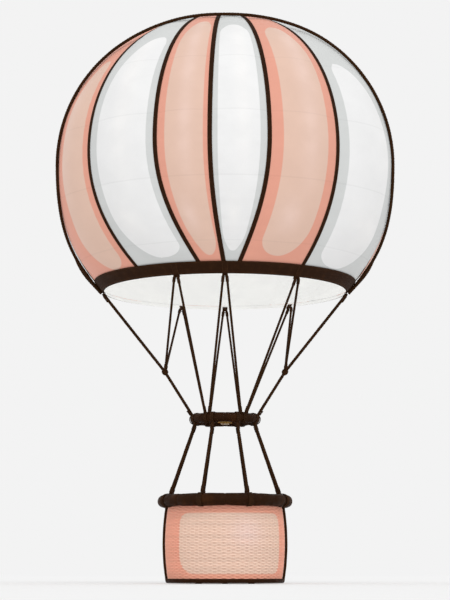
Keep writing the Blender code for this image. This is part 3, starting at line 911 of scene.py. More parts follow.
@dataclass(frozen=True)
class EnvelopeForm:
    """Form of the envelope's outer face, with the part's own sizes."""

    seam_radius: float = 2.965
    crown_rise: float = 2.80
    mouth_fall: float = 3.03
    lobe: float = 0.052                # swell as a share of a gore's width
    lobe_fade: float = 0.9             # the swell dies out over this distance from each end
    crown_arc: float = 2.87            # length of a radian of the seam near the crown
    least: float = 0.010               # least height of the skin or a tape over the seam
    vent_hole: float = 0.55
    vent_tape: float = 0.64
    hem_foot: float = 5.1405
    tape_foot: float = 5.2635
    lean_top: float = 7.4
    lean_curve: float = 2.5
    front_seams: tuple = ((-50.4, -39.0), (-22.8, -9.5), (-4.8, 0.0), (14.2, 5.0), (39.1, 34.0))
    side_seams: tuple = ((84.7, 90.0), (275.3, 270.0))
    back_gores: int = 8
    samples: int = 6001                # points that the seam is measured with

    @property
    def seams(self) -> list:
        """Every seam, in the order of their azimuths.

        Returns:
            Azimuth of each at the belly and at the hem, in degrees.
        """
        right, left = self.side_seams
        back = [tuple(a + (b - a) * step / self.back_gores for a, b in zip(right, left))
                for step in range(self.back_gores + 1)]
        return [*self.front_seams, *back]

    @property
    def band_lean(self) -> float:
        """How much wider the mouth band is for each metre up."""
        rise = self.tape_foot - self.hem_foot
        return (self.lower_radius(self.tape_foot) - self.lower_radius(self.hem_foot)) / rise

    def seam_turn(self, number: int, height: Grid) -> Grid:
        """Azimuth of a seam.

        Args:
            number: The seam. The one after the last is the first, a turn further on.
            height: Heights.

        Returns:
            Azimuths in radians.
        """
        rounds, spot = divmod(number, len(self.seams))
        belly, hem = self.seams[spot]
        share = np.clip((self.lean_top - height) / (self.lean_top - self.hem_foot), 0, None) ** self.lean_curve
        return np.radians(belly + (hem - belly) * share) + 2 * pi * rounds

    def seam_height(self, radius: float) -> float:
        """Height of the seam's upper stretch at a radius."""
        return AIR_CENTRE + self.crown_rise * sqrt(1 - (radius / self.seam_radius) ** 2)

    def lower_radius(self, height: float) -> float:
        """Radius of the seam's lower stretch at a height."""
        return self.seam_radius * cos(asin((AIR_CENTRE - height) / self.mouth_fall))

    def band_inner(self, height: Grid) -> Grid:
        """Radius of the mouth band's inner face at heights."""
        return self.lower_radius(self.hem_foot) + self.band_lean * (height - self.hem_foot) + 0.001

    def ellipse(self, angle: Grid) -> tuple:
        """Places on the seam's ellipse.

        Args:
            angle: Angles from the belly up.

        Returns:
            Radius, height, and the outward direction as two arrays.
        """
        rise = np.where(angle > 0, self.crown_rise, self.mouth_fall)
        run = np.stack([-self.seam_radius * np.sin(angle), rise * np.cos(angle)])
        run /= np.hypot(*run)
        return self.seam_radius * np.cos(angle), AIR_CENTRE + rise * np.sin(angle), run[1], -run[0]

    def line(self, count: int) -> SeamLine:
        """Seam line in evenly spaced points from the hem up to the vent's edge.

        Args:
            count: Stretches between the points.

        Returns:
            The line.
        """
        angle = np.linspace(asin((self.hem_foot - AIR_CENTRE) / self.mouth_fall),
                            acos(self.vent_hole / self.seam_radius), self.samples)
        radius, height = self.ellipse(angle)[:2]
        reach = np.concatenate([[0], np.cumsum(np.hypot(np.diff(radius), np.diff(height)))])
        even = np.linspace(0, reach[-1], count + 1)
        foot = np.interp(self.tape_foot, height, reach)
        head = np.interp(-self.vent_tape, -radius[angle > 0], reach[angle > 0])
        near = np.clip(np.minimum(even - foot, head - even) / self.lobe_fade, 0, 1)
        radius, height, out, rise = self.ellipse(np.interp(even, reach, angle))
        return SeamLine(even, radius, height, near * (2 - near), out, rise)

    def swell(self, turns: Grid, angle: Grid) -> Grid:
        """How far the lobed skin, or a tape on it, stands over the seam's ellipse.

        Args:
            turns: Azimuths in radians.
            angle: Angles on the seam's ellipse.

        Returns:
            Heights over it.
        """
        radius, height = self.ellipse(angle)[:2]
        fade = np.clip((acos(self.vent_tape / self.seam_radius) - angle) * self.crown_arc / self.lobe_fade, 0, 1)
        swell = np.zeros_like(radius)
        for number in range(len(self.seams)):
            left, right = (self.seam_turn(number + side, height) for side in (0, 1))
            share = np.mod(turns - left, 2 * pi) / (right - left)
            lobe = self.lobe * radius * (right - left) * fade * (2 - fade) * 4 * share * (1 - share)
            swell = np.where(share < 1, lobe, swell)
        return np.maximum(swell, self.least)


@dataclass(frozen=True)
class Patch:
    """Pale heart of a gore inside a darker border, painted light and shade of the swelling lobe: its borders, as
    shares of the gore's width, and its round corners.
    """

    left: float = 0.145
    right: float = 0.145
    head: float = 1.45                 # its upper end from the vent's edge
    foot: float = 0.27                 # its lower end from the hem
    lean: float = 0.5                  # share of its width that the left corners take
    upper: tuple = (0.35, 0.35)        # length of the left and the right corner at its upper end
    lower: tuple = (0.35, 0.35)        # and at its lower end

    def depth(self, across: Grid, width: Grid, head: Grid, foot: Grid) -> Grid:
        """How far inside the patch each place is, in metres.

        Args:
            across: Distance from the gore's left seam.
            width: Width of the gore.
            head: Distance from the patch's upper end.
            foot: Distance from its lower end.

        Returns:
            Depths, negative outside.
        """
        inner = width * (1 - self.left - self.right)
        sides = (across - self.left * width, width * (1 - self.right) - across)
        depth = np.minimum(np.minimum(*sides), np.minimum(head, foot))
        for end, lean, corners in ((head, self.lean, self.upper), (foot, 0.5, self.lower)):
            for side, wide, long in zip(sides, (lean * inner, (1 - lean) * inner), corners):
                off = np.hypot(np.clip(1 - side / wide, 0, None), np.clip(1 - end / long, 0, None))
                depth = np.where((side < wide) & (end < long), np.minimum(depth, (1 - off) * wide), depth)
        return depth


# Painted-shade borders and pale hearts of the gores at the front.
FRONT_PATCHES = {
    0: Patch(0.18, 0.11, 1.80, 0.26, 0.85, (1.7, 0.25), (0.9, 0.25)),
    1: Patch(0.19, 0.12, 1.25, 0.26, 0.65, (0.9, 0.3), (0.7, 0.3)),
    2: Patch(0.13, 0.16, 1.46, 0.34, 0.5, (0.35, 0.35), (0.35, 0.35)),
    3: Patch(0.18, 0.18, 1.50, 0.28, 0.35, (0.3, 0.9), (0.35, 0.6)),
    4: Patch(0.10, 0.44, 2.36, 0.17, 0.15, (0.25, 2.0), (0.3, 0.7)),
    13: Patch(0.55, 0.09, 2.15, 0.15, 0.85, (2.2, 0.25), (0.8, 0.3)),
}


@dataclass
class Envelope:
    """Gores, tapes, crown, vent panel and mouth band."""

    form: EnvelopeForm = field(default_factory=EnvelopeForm)
    rows: int = 176
    lobe_columns: int = 22
    cloth: float = 0.004               # thickness, thinner than the part's stand-in
    flat: float = 0.0385               # half of the flat that a tape covers
    seam_gap: float = 0.0004
    sewing: float = 0.03               # added to a gore's width for its seams
    # glow: painted highlights in each gore's heart
    glow: tuple = ((0.56, 0.14, 0.55, 0.30, 4), (0.42, 0.16, 0.16, 0.05, 2))    # middle and reach across, the same
                                                       # up the gore, and how sharply it ends
    puckers: tuple = ((0.235, 1.0), (0.151, 0.7))      # length and share of each wave beside a tape
    pucker: tuple = (0.0055, 0.02, 0.11)               # height, rise and reach of the puckers
    sway: tuple = (0.004, 1.3)                         # height and length of the slow waves in a lobe
    tape_half: float = 0.0375
    tape_thick: float = 0.0062
    tape_ends: tuple = (0.0008, 0.033)                 # from the band's top, and short of the vent's edge
    tape_section: tuple = ((0.0, 0.0100), (0.4, 0.0098), (0.76, 0.0090), (0.82, 0.0078), (0.93, 0.0085),
                           (1.0, 0.0066))              # share of its half width, and lift
    rim_section: tuple = ((0.652, 0.0100), (0.648, 0.0150), (0.620, 0.0160), (0.595, 0.0155), (0.570, 0.0160),
                          (0.546, 0.0150), (0.542, 0.0100))   # radius and lift of the vent edge's tape
    rim_thick: float = 0.006
    rim_run: float = 0.6               # length of its cloth for each radian
    rim_steps: int = 168               # faces around it
    line_section: tuple = ((0.0, 0.0066), (0.008, 0.0062), (0.011, 0.0045))
    line_step: tuple = (0.003, 0.010)  # how far its last points climb onto the vent edge's tape
    line_reach: tuple = (0.085, 0.556)
    line_points: int = 12
    line_thick: float = 0.004
    crown_ring: tuple = (0.090, 0.0052, 0.020, 0.0048)        # radius, lift and the section's two radii
    panel_rim: tuple = (0.004, 0.06, 0.12, 0.18, 0.24, 0.30, 0.36, 0.42, 0.48, 0.53, 0.56, 0.585, 0.603, 0.612,
                        0.620)
    panel_under: float = 0.0112        # the vent panel's top under the gores' outer face
    panel_thick: float = 0.006
    panel_dip: float = 0.0025          # how far its seams are drawn in
    panel_heart: float = 0.5           # radius of its paler middle; the darker ring outside it is painted shade
    panel_sewn: float = 0.6            # its seams end at this radius
    panel_fold: float = 0.0012         # how far its hem's fold stands up
    panel_steps: int = 224             # faces around it
    band_foot: float = 5.0705
    band_top: float = 5.2555
    band_thick: float = 0.0225
    band_section: tuple = ((0.0, 0.004), (0.02, 0.9), (0.045, 1.0), (0.09, 0.86), (0.12, 0.98), (0.3, 1.0),
                           (0.45, 0.99), (0.49, 0.86), (0.53, 0.99), (0.7, 1.0), (0.88, 0.98), (0.91, 0.86),
                           (0.955, 1.0), (0.98, 0.9), (1.0, 0.004))
    band_run: float = 2.2              # length of its cloth for each radian
    band_steps: int = 176              # faces around it
    lug_turns: tuple = (-22, 0, 34, 90, 202, 180, 146, -90)
    tab_steps: tuple = (-0.046, -0.038, 0.0, 0.038, 0.046)             # across a tab
    tab_cut: tuple = (-0.030, -0.026, 0.0, 0.026, 0.030)               # and across its cloth
    tab_section: tuple = ((0.0125, 0.16), (0.0150, 0.09), (0.0165, 0.0), (0.014, -0.022), (0.006, -0.036),
                          (-0.006, -0.036), (-0.014, -0.022), (-0.0165, 0.0), (-0.0150, 0.05))
    tab_thick: float = 0.004
    lug_bow: tuple = (0.026, 0.036, 0.030, 0.0062)     # drop under the band, two radii, and the bar's radius

    def gore(self, number: int) -> None:
        """One gore: a lobed strip of cloth with puckers beside its tapes.

        Args:
            number: Place of the gore, from 0.
        """
        form = self.form
        line = form.line(self.rows)
        left, right = (form.seam_turn(number + side, line.height) for side in (0, 1))
        width = line.radius * (right - left)
        lobe = np.linspace(0, 1, self.lobe_columns + 1)[:, None]
        edge = np.full((1, len(width)), self.seam_gap)
        across = np.concatenate([edge, self.flat + (width - 2 * self.flat) * lobe, width - edge])
        bulge = np.pad(4 * lobe * (1 - lobe) * np.ones_like(width), ((1, 1), (0, 0)))
        luck = Random(number)
        *starts, late = (luck.uniform(0, 2 * pi) for _ in range(3))
        wave = sum(share * np.sin(2 * pi * line.reach / length + start)
                   for (length, share), start in zip(self.puckers, starts))
        tall, rise, reach = self.pucker
        beside = np.clip(np.minimum(across, width - across) - self.flat, 0, None)
        swell = form.lobe * width * line.fade * bulge
        swell = swell + tall * wave * (1 - np.exp(-beside / rise)) * np.exp(-beside / reach)
        tall, length = self.sway
        swell = swell + tall * bulge * line.fade * np.sin(2 * pi * line.reach / length + late + 1)
        spots = around(left + across / line.radius, line.radius + swell * line.out, line.height + swell * line.rise)
        cut = np.stack([across - width / 2, np.broadcast_to(line.reach, across.shape)], axis=-1)
        # patch sets the painted-shade border and the paler heart
        shape = FRONT_PATCHES.get(number, Patch())
        patch = shape.depth(across, width, line.reach[-1] - shape.head - line.reach, line.reach - shape.foot)
        share, level = across / width, line.reach / line.reach[-1]
        # painted highlights: soft lighter streaks up the gore's heart and a spot near its foot
        painted_highlight = np.maximum(*[np.exp(-((share - place) / wide) ** 2 - ((level - spot) / tall) ** end)
                              for place, wide, spot, tall, end in self.glow])
        thing = lofted(spots, cut, {"patch": patch, "painted_highlight": painted_highlight})
        name, white = "gore_%02d" % (number + 1), number % 2 == 0
        for finish in (WHITE if white else SALMON, INSIDE):
            thing.data.materials.append(finish.material())
        modified(thing, "SOLIDIFY", thickness=self.cloth, offset=-1.0, material_offset=1)
        deliver(smooth(thing, 60), name + "_cloth", Slot.WHITE if white else Slot.SALMON, None, name)

    def tapes(self) -> None:
        """Webbing over each seam, and the tape around the vent's edge that lies on their upper ends."""
        form = self.form
        line = form.line(self.rows)
        gap, short = self.tape_ends
        foot = np.interp(self.band_top + gap, line.height, line.reach)
        reach = np.linspace(foot, line.reach[-1] - short, self.rows)
        radius, height, out, rise = (np.interp(reach, line.reach, v)
                                     for v in (line.radius, line.height, line.out, line.rise))
        aside, lift = both_sides(self.tape_section)
        aside = aside * self.tape_half
        cut = np.stack([aside * np.ones_like(radius), np.ones_like(aside) * reach], axis=-1)
        strips = []
        for number in range(len(form.seams)):
            turn = form.seam_turn(number, height) + aside / radius
            strip = lofted(around(turn, radius + lift * out, height + lift * rise), cut)
            strips.append(modified(strip, "SOLIDIFY", thickness=self.tape_thick, offset=-1.0))
        deliver(smooth(joined(strips), 60), "load_tapes_webbing", Slot.WEBBING, TAPE, "load_tapes")
        rim, lift = np.array(self.rim_section).T
        turn = np.linspace(0, 2 * pi, self.rim_steps + 1)[:, None]
        tall = np.array([form.seam_height(r) for r in rim])
        middle = (rim[0] + rim[-1]) / 2
        cut = np.stack([np.ones_like(turn) * (rim - middle), turn * self.rim_run * np.ones_like(rim)], axis=-1)
        edge = lofted(around(turn, rim, tall + lift), cut, weld=True)
        modified(edge, "SOLIDIFY", thickness=self.rim_thick, offset=-1.0)
        deliver(smooth(edge, 60), "vent_edge_webbing", Slot.WEBBING, TAPE, "load_tapes")

    def crown(self) -> None:
        """Crown ring, with a line of webbing from it to each seam."""
        form = self.form
        rim = np.linspace(*self.line_reach, self.line_points)
        tall = np.array([form.seam_height(r) for r in rim])
        aside, lift = both_sides(self.line_section)
        lift = lift + np.pad(self.line_step, (len(rim) - 2, 0))
        cut = np.stack([aside * np.ones_like(rim), np.ones_like(aside) * rim], axis=-1)
        strips = []
        for number in range(len(form.seams)):
            turn = form.seam_turn(number, AIR_CENTRE + form.crown_rise)
            strip = lofted(around(turn, rim, tall + lift, aside), cut)
            strips.append(modified(strip, "SOLIDIFY", thickness=self.line_thick, offset=-1.0))
        deliver(smooth(joined(strips), 60), "crown_lines_webbing", Slot.WEBBING, TAPE, "crown_lines")
        radius, lift, wide, tall = self.crown_ring
        outline = oval((radius, form.seam_height(radius) + lift), (wide, tall), 16)
        deliver(spun(outline, 64), "crown_ring", Slot.STEEL, FORGED, "crown_lines")

    def vent(self) -> None:
        """Vent panel: a dome of cloth in fourteen sectors, with its sewn edge."""
        rim = np.array(self.panel_rim)
        tall = np.array([self.form.seam_height(r) for r in rim]) - self.panel_under
        tall[-2] += self.panel_fold
        turn = np.linspace(0, 2 * pi, self.panel_steps + 1)[:, None]
        sector = np.abs(np.sin(len(self.form.seams) / 2 * turn)) ** 0.5
        dip = self.panel_dip * (sector * np.clip(rim / self.form.vent_hole, 0, 1) * (rim < self.panel_sewn) - 1)
        spots = around(turn, rim, tall + dip)[::-1]
        # paler middle and darker outer ring, painted light and shade as on the gores
        patch = self.panel_heart - rim + 0 * turn
        thing = lofted(spots, spots[..., :2], {"patch": patch, "painted_highlight": 0 * patch}, weld=True)
        for finish in (SALMON, INSIDE):
            thing.data.materials.append(finish.material())
        if thing.data.polygons[len(thing.data.polygons) // 2].normal.z < 0:
            bpy.ops.object.mode_set(mode="EDIT")
            bpy.ops.mesh.select_all(action="SELECT")
            bpy.ops.mesh.flip_normals()
            bpy.ops.object.mode_set(mode="OBJECT")
        modified(thing, "SOLIDIFY", thickness=self.panel_thick, offset=-1.0, material_offset=1)
        deliver(smooth(thing, 60), "vent_panel_cloth", Slot.SALMON, None, "vent_panel", body=Body.VENT)

    def band(self) -> None:
        """Mouth band: webbing sewn in three rows, with a pale facing."""
        level, out = np.array([*self.band_section, self.band_section[0]]).T
        height = self.band_foot + level * (self.band_top - self.band_foot)
        rim = self.form.band_inner(height) + out * self.band_thick
        turn = np.linspace(0, 2 * pi, self.band_steps + 1)[:, None]
        middle = (self.band_foot + self.band_top) / 2
        cut = np.stack([(height - middle) * np.ones_like(turn), turn * self.band_run * np.ones_like(rim)], axis=-1)
        thing = lofted(around(turn, rim, height), cut, weld=True)
        for finish in (BAND, FACING):
            thing.data.materials.append(finish.material())
        for face in thing.data.polygons:
            place = face.center.xy
            face.material_index = int(face.normal.xy.dot(place) < -0.5 * place.length)
        deliver(smooth(thing, 50), "mouth_band_webbing", Slot.WEBBING, None, "mouth_band")

    def lugs(self) -> None:
        """Tabs under the band and forged rings in them, for the ropes."""
        middle = self.form.band_inner(self.band_foot) + self.band_thick / 2
        reach, up = np.array(self.tab_section).T
        step, across = (np.array(places)[:, None] for places in (self.tab_steps, self.tab_cut))
        radius = middle + reach + self.form.band_lean * up + self.tab_thick / 2 * np.sign(reach)
        cut = np.stack([across * np.ones_like(up), -up * np.ones_like(step)], axis=-1)
        drop, wide, tall, bar = self.lug_bow
        angle = np.linspace(0, 2 * pi, 24, endpoint=False)
        tabs, rings = [], []
        for turn in np.radians(self.lug_turns):
            tab = lofted(around(turn, radius, self.band_foot + up, step), cut)
            tabs.append(modified(tab, "SOLIDIFY", thickness=self.tab_thick, offset=0.0))
            bow = around(turn, middle, self.band_foot - drop + tall * np.sin(angle), wide * np.cos(angle))
            rings.append(drawn([bow], bar, 8, closed=True))
        deliver(smooth(joined(tabs), 60), "mouth_band_tabs", Slot.WEBBING, TAPE, "mouth_band")
        deliver(joined(rings), "mouth_band_rings", Slot.STEEL, FORGED, "mouth_band")

    def build(self) -> None:
        """Make every piece of the envelope."""
        for number in range(len(self.form.seams)):
            self.gore(number)
        for make in (self.tapes, self.crown, self.vent, self.band, self.lugs):
            make()


@dataclass
class Rigging:
    """Ropes between the mouth band, the load ring and the basket, with the outline ropes over the envelope."""

    form: EnvelopeForm = field(default_factory=EnvelopeForm)
    front_points: tuple = (-22, 0, 34)
    ring_points: tuple = (-35, 35)
    main_rope: float = 0.029
    bridle_rope: float = 0.0225
    car_rope: float = 0.025
    knot_reach: float = 1.05
    knot_height: float = 3.665
    knot_turn: tuple = (0.028, 0.0435, 0.038, 0.0145)  # step, middle and outer radius, and radius of its rope
    spread: float = 0.0255
    ring: tuple = (0.527, 2.833, 0.087)                # radius, height and tube of the load ring
    rim: tuple = (1.06, 1.409, 0.11)                   # and of the basket's rim
    lug_radius: float = 2.168
    lug_height: float = 5.0745
    lug_trim: float = 0.03             # how far short of a lug's middle a rope stops
    ring_trim: float = 0.078           # and of the middle of the ring's tube
    rim_trim: float = 0.10             # and of the rim's
    knot_trim: float = 0.06            # and how far short of a knot's middle a branch stops
    lay: float = 6.5                   # length of a turn of the lay, in rope radii
    strand_count: int = 4
    strand: float = 0.45               # radius of a strand, in rope radii
    twine: float = 0.0045
    twine_lift: float = 0.002          # middle of the twine over the rope
    twine_pitch: float = 0.0085
    serving: tuple = (0.09, 0.10)      # how far from a rope's end its twine is, and how long
    main_trims: tuple = (0.035, 0.03)  # how far short of a lug, and of the knot, a main rope stops
    main_servings: tuple = ((0.14, 0.13), (0.15, 0.10))
    cord: tuple = (0.0062, 0.0045, 0.0125)             # radius, lift and pitch of the lashings' cord
    lashing_turns: tuple = (5, 7)      # turns of cord on the ring and on the rim
    side_rope: float = 0.030
    side_sink: float = 0.003           # how far it presses into the cloth
    side_seam: int = 5                 # number of the seam on the right side
    band_lift: float = 0.025           # outer face of the mouth band over the seam
    taut_from: float = 0.25            # the side ropes bridge valleys from this angle over the belly
    taut_reach: tuple = (3, 12)        # points to each side that they span, below it and above it
    arch_out: float = 1.07             # how far an arch is from the middle plane at the belly
    arch_lean: tuple = (0.14, 0.23)    # how much further at its crest: even, and near the crest
    arch_skew: float = 0.03            # and on the right, as a share
    arch_foot: float = 0.02            # an arch's lower end over the lugs
    arch_points: int = 300

    def laid(self, path: Grid, radius: float) -> Thing:
        """Rope whose strands are laid around a path.

        Args:
            path: Places along it.
            radius: Its radius.

        Returns:
            The object.
        """
        reach = np.concatenate([[0], np.cumsum(np.linalg.norm(np.diff(path, axis=0), axis=1))])
        turns = max(2, round(reach[-1] / (self.lay * radius)))
        even = np.linspace(0, reach[-1], turns * 8 + 1)
        spots = np.stack([np.interp(even, reach, path[:, axis]) for axis in range(3)], axis=1)
        run = np.gradient(spots, axis=0)
        run /= np.linalg.norm(run, axis=1)[:, None]
        first = np.cross(run, [0.3, 0.2, 0.93] if abs(run[0, 2]) < 0.9 else [1.0, 0.2, 0.0])
        first /= np.linalg.norm(first, axis=1)[:, None]
        second = np.cross(run, first)
        strands = []
        for strand in range(self.strand_count):
            turn = (2 * pi * turns * even / reach[-1] + 2 * pi * strand / self.strand_count)[:, None]
            strands.append(spots + (1 - self.strand) * radius * (np.cos(turn) * first + np.sin(turn) * second))
        return drawn(strands, self.strand * radius)

    def whipping(self, place: Grid, run: Grid, radius: float, length: float) -> Grid:
        """Path of the twine wound around a rope.

        Args:
            place: Middle of the winding.
            run: Direction of the rope.
            radius: Radius of the rope.
            length: Length of the winding.

        Returns:
            Places along the twine.
        """
        first = np.array(Vector(run).orthogonal().normalized())
        second = np.cross(run, first)
        turns = max(3, int(length / self.twine_pitch))
        step = np.linspace(0, 1, turns * 10 + 1)[:, None]
        angle = 2 * pi * turns * step
        out = np.cos(angle) * first + np.sin(angle) * second
        return place + run * length * (step - 0.5) + (radius + self.twine_lift) * out

    def bound(self, node: str, lays: list, windings: list) -> None:
        """Join a rope with its twine.

        Args:
            node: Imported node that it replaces.
            lays: Its stretches of rope.
            windings: Paths of its twine.
        """
        parts = [joined(lays), drawn(windings, self.twine, 4)]
        for part, finish in zip(parts, (ROPE, TWINE)):
            part.data.materials.append(finish.material())
        deliver(joined(parts), node + "_laid", Slot.ROPE, None, node)

    def rope(self, node: str, start: Grid, end: Grid, radius: float, trims: tuple) -> None:
        """Laid rope between two places, served with twine near its ends.

        Args:
            node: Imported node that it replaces.
            start: Upper place.
            end: Lower place.
            radius: Radius of the rope.
            trims: How far short of each place it stops.
        """
        run = (end - start) / np.linalg.norm(end - start)
        first, last = start + run * trims[0], end - run * trims[1]
        off, length = self.serving
        self.bound(node, [self.laid(np.array([first, last]), radius)],
                   [self.whipping(spot, run, radius, length) for spot in (first + run * off, last - run * off)])

    def lug(self, turn: float, aside: float = 0.0) -> Grid:
        """Middle of a lug at an azimuth in degrees."""
        return around(radians(turn), self.lug_radius, self.lug_height, aside)

    def ring_spot(self, turn: float, aside: float = 0.0) -> Grid:
        """Place in the load ring's tube at an azimuth in degrees."""
        return around(radians(turn), *self.ring[:2], aside)

    def knot(self, centre: Grid, run: Grid) -> list:
        """Turns of rope that make the knot.

        Args:
            centre: Its middle.
            run: Direction of the rope.

        Returns:
            The turns.
        """
        step, middle, outer, thick = self.knot_turn
        turns = []
        for axis in (run, np.array([0.0, 1.0, 0.0]), np.cross(run, [0.0, 1.0, 0.0])):
            first = np.array(Vector(axis).orthogonal().normalized())
            second = np.cross(axis / np.linalg.norm(axis), first)
            for shift in (-step, 0.0, step):
                radius = outer if shift else middle
                spots = [centre + axis * shift + across * first + up * second
                         for across, up in oval((0, 0), (radius, radius), 20)]
                turns.append(drawn([np.array(spots)], thick, closed=True))
        return turns

    def main(self) -> None:
        """Main rope on each side, from its lug through the knot to the load ring, and its two branches."""
        for side, turn, front in (("left", -90, self.front_points[0]), ("right", 90, self.front_points[2])):
            knot = around(radians(turn), self.knot_reach, self.knot_height)
            top, foot = self.lug(turn), self.ring_spot(turn)
            pieces = []
            for start, end, trims in ((top, knot, self.main_trims),
                                      (knot, foot, (self.main_trims[1], self.ring_trim))):
                run = (end - start) / np.linalg.norm(end - start)
                pieces.append(self.laid(np.array([start + run * trims[0], end - run * trims[1]]), self.main_rope))
            run = (foot - top) / np.linalg.norm(foot - top)
            (off, length), (low_off, low_length) = self.main_servings
            twine = [self.whipping(top + run * off, run, self.main_rope, length),
                     self.whipping(foot - run * low_off, run, self.main_rope, low_length)]
            self.bound("main_rope_" + side, pieces + self.knot(knot, -run), twine)
            for half, lug in (("front", front), ("back", 180 - front)):
                aside = self.spread if sin(radians(turn - lug)) > 0 else -self.spread
                self.rope("branch_%s_%s" % (half, side), self.lug(lug, aside), knot, self.bridle_rope,
                          (self.lug_trim, self.knot_trim))

    def bridles(self) -> None:
        """Eight bridle ropes from the load ring to the mouth band."""
        hands = (("left", self.ring_points[0], self.front_points[0], -1),
                 ("right", self.ring_points[1], self.front_points[2], 1))
        for half, start, way in (("front", 0, 1), ("back", 180, -1)):
            for hand, ring_point, outer, side in hands:
                for reach, lug, lean in (("outer", outer, side), ("inner", self.front_points[1], -side)):
                    foot = self.ring_spot(start + way * ring_point, way * lean * self.spread)
                    top = self.lug(start + way * lug, -way * lean * self.spread)
                    self.rope("bridle_%s_%s_%s" % (half, hand, reach), top, foot, self.bridle_rope,
                              (self.lug_trim, self.ring_trim))

    def car_lines(self) -> None:
        """Eight lines from the load ring to the basket's rim."""
        for number, turn in enumerate(RIM_LACINGS):
            foot = around(radians(turn), *self.rim[:2])
            self.rope("car_line_%d" % (number + 1), self.ring_spot(turn), foot, self.car_rope,
                      (self.ring_trim, self.rim_trim))

    def lashings(self) -> None:
        """Turns of cord around the padded ring and rim where each rope is made fast."""
        thick, lift, pitch = self.cord
        angle = np.linspace(0, 2 * pi, 26, endpoint=False)
        for name, lacings, (radius, height, tube), count in zip(
                ("load_ring_lashings", "rim_lashings"), (RING_LACINGS, RIM_LACINGS), (self.ring, self.rim),
                self.lashing_turns):
            out, up = (tube + lift) * np.cos(angle), (tube + lift) * np.sin(angle)
            runs = [around(radians(turn), radius + out, height + up, (step - (count - 1) / 2) * pitch)
                    for turn in lacings for step in range(count)]
            deliver(drawn(runs, thick, 4, closed=True), name, Slot.ROPE, TWINE)

    def over_cloth(self, turns: Grid, angle: Grid) -> Grid:
        """Path of a rope pulled taut over the lobed cloth, so that it bridges the valleys.

        Args:
            turns: Azimuths in radians.
            angle: Angles on the seam's ellipse.

        Returns:
            Places along the rope.
        """
        radius, height, out, up = self.form.ellipse(angle)
        swell = np.where(height < self.form.tape_foot, self.band_lift, self.form.swell(turns, angle))
        taut = []
        for reach in self.taut_reach:
            high = np.lib.stride_tricks.sliding_window_view(np.pad(swell, reach, mode="edge"),
                                                            2 * reach + 1).max(axis=1)
            mean = np.full(2 * reach + 1, 1 / (2 * reach + 1))
            taut.append(np.maximum(swell, np.convolve(np.pad(high, reach, mode="edge"), mean, mode="valid")))
        share = np.clip((angle + self.taut_from) / (2 * self.taut_from), 0, 1)
        lift = taut[0] * (1 - share) + taut[1] * share + self.side_rope - self.side_sink
        return around(turns, radius + lift * out, height + lift * up)

    def arch(self) -> tuple:
        """Front arch, from the lug on the right over the front of the crown to the lug on the left.

        Returns:
            Azimuths, and angles on the seam's ellipse.
        """
        form = self.form
        crest = form.crown_rise * sqrt(1 - ((self.arch_out + sum(self.arch_lean)) / form.seam_radius) ** 2)
        drop = AIR_CENTRE - self.lug_height - self.arch_foot
        foot = asin(drop / crest)
        swing = np.linspace(-foot, pi + foot, self.arch_points)
        tall = crest * np.sin(swing)
        angle = np.arcsin(tall / np.where(tall > 0, form.crown_rise, form.mouth_fall))
        radius = form.seam_radius * np.cos(angle)
        share = 1 - (1 - np.clip(-tall / drop, 0, 1) ** 2) ** 2
        ahead = self.arch_out + self.arch_lean[0] * np.clip(np.sin(swing), 0, None)
        ahead += self.arch_lean[1] * (1 - np.abs(np.cos(swing))) ** 3 * (tall > 0)
        ahead *= 1 + self.arch_skew * np.cos(swing)
        beside = radius * np.cos(form.seam_turn(self.side_seam, AIR_CENTRE + tall)) + self.side_rope
        ahead = ahead * (1 - share) + beside * share
        aside = np.sqrt(np.clip(radius ** 2 - ahead ** 2, 0, None)) * np.sign(np.cos(swing))
        return np.arctan2(aside, ahead), angle

    def side_ropes(self) -> None:
        """Two arches of rope over the envelope, which start side by side over each side seam."""
        turns, angle = self.arch()
        lays = [self.laid(self.over_cloth(way, angle), self.side_rope) for way in (turns, pi - turns)]
        deliver(joined(lays), "side_ropes", Slot.ROPE, ROPE)

    def build(self) -> None:
        """Make every rope."""
        for make in (self.main, self.bridles, self.car_lines, self.lashings, self.side_ropes):
            make()


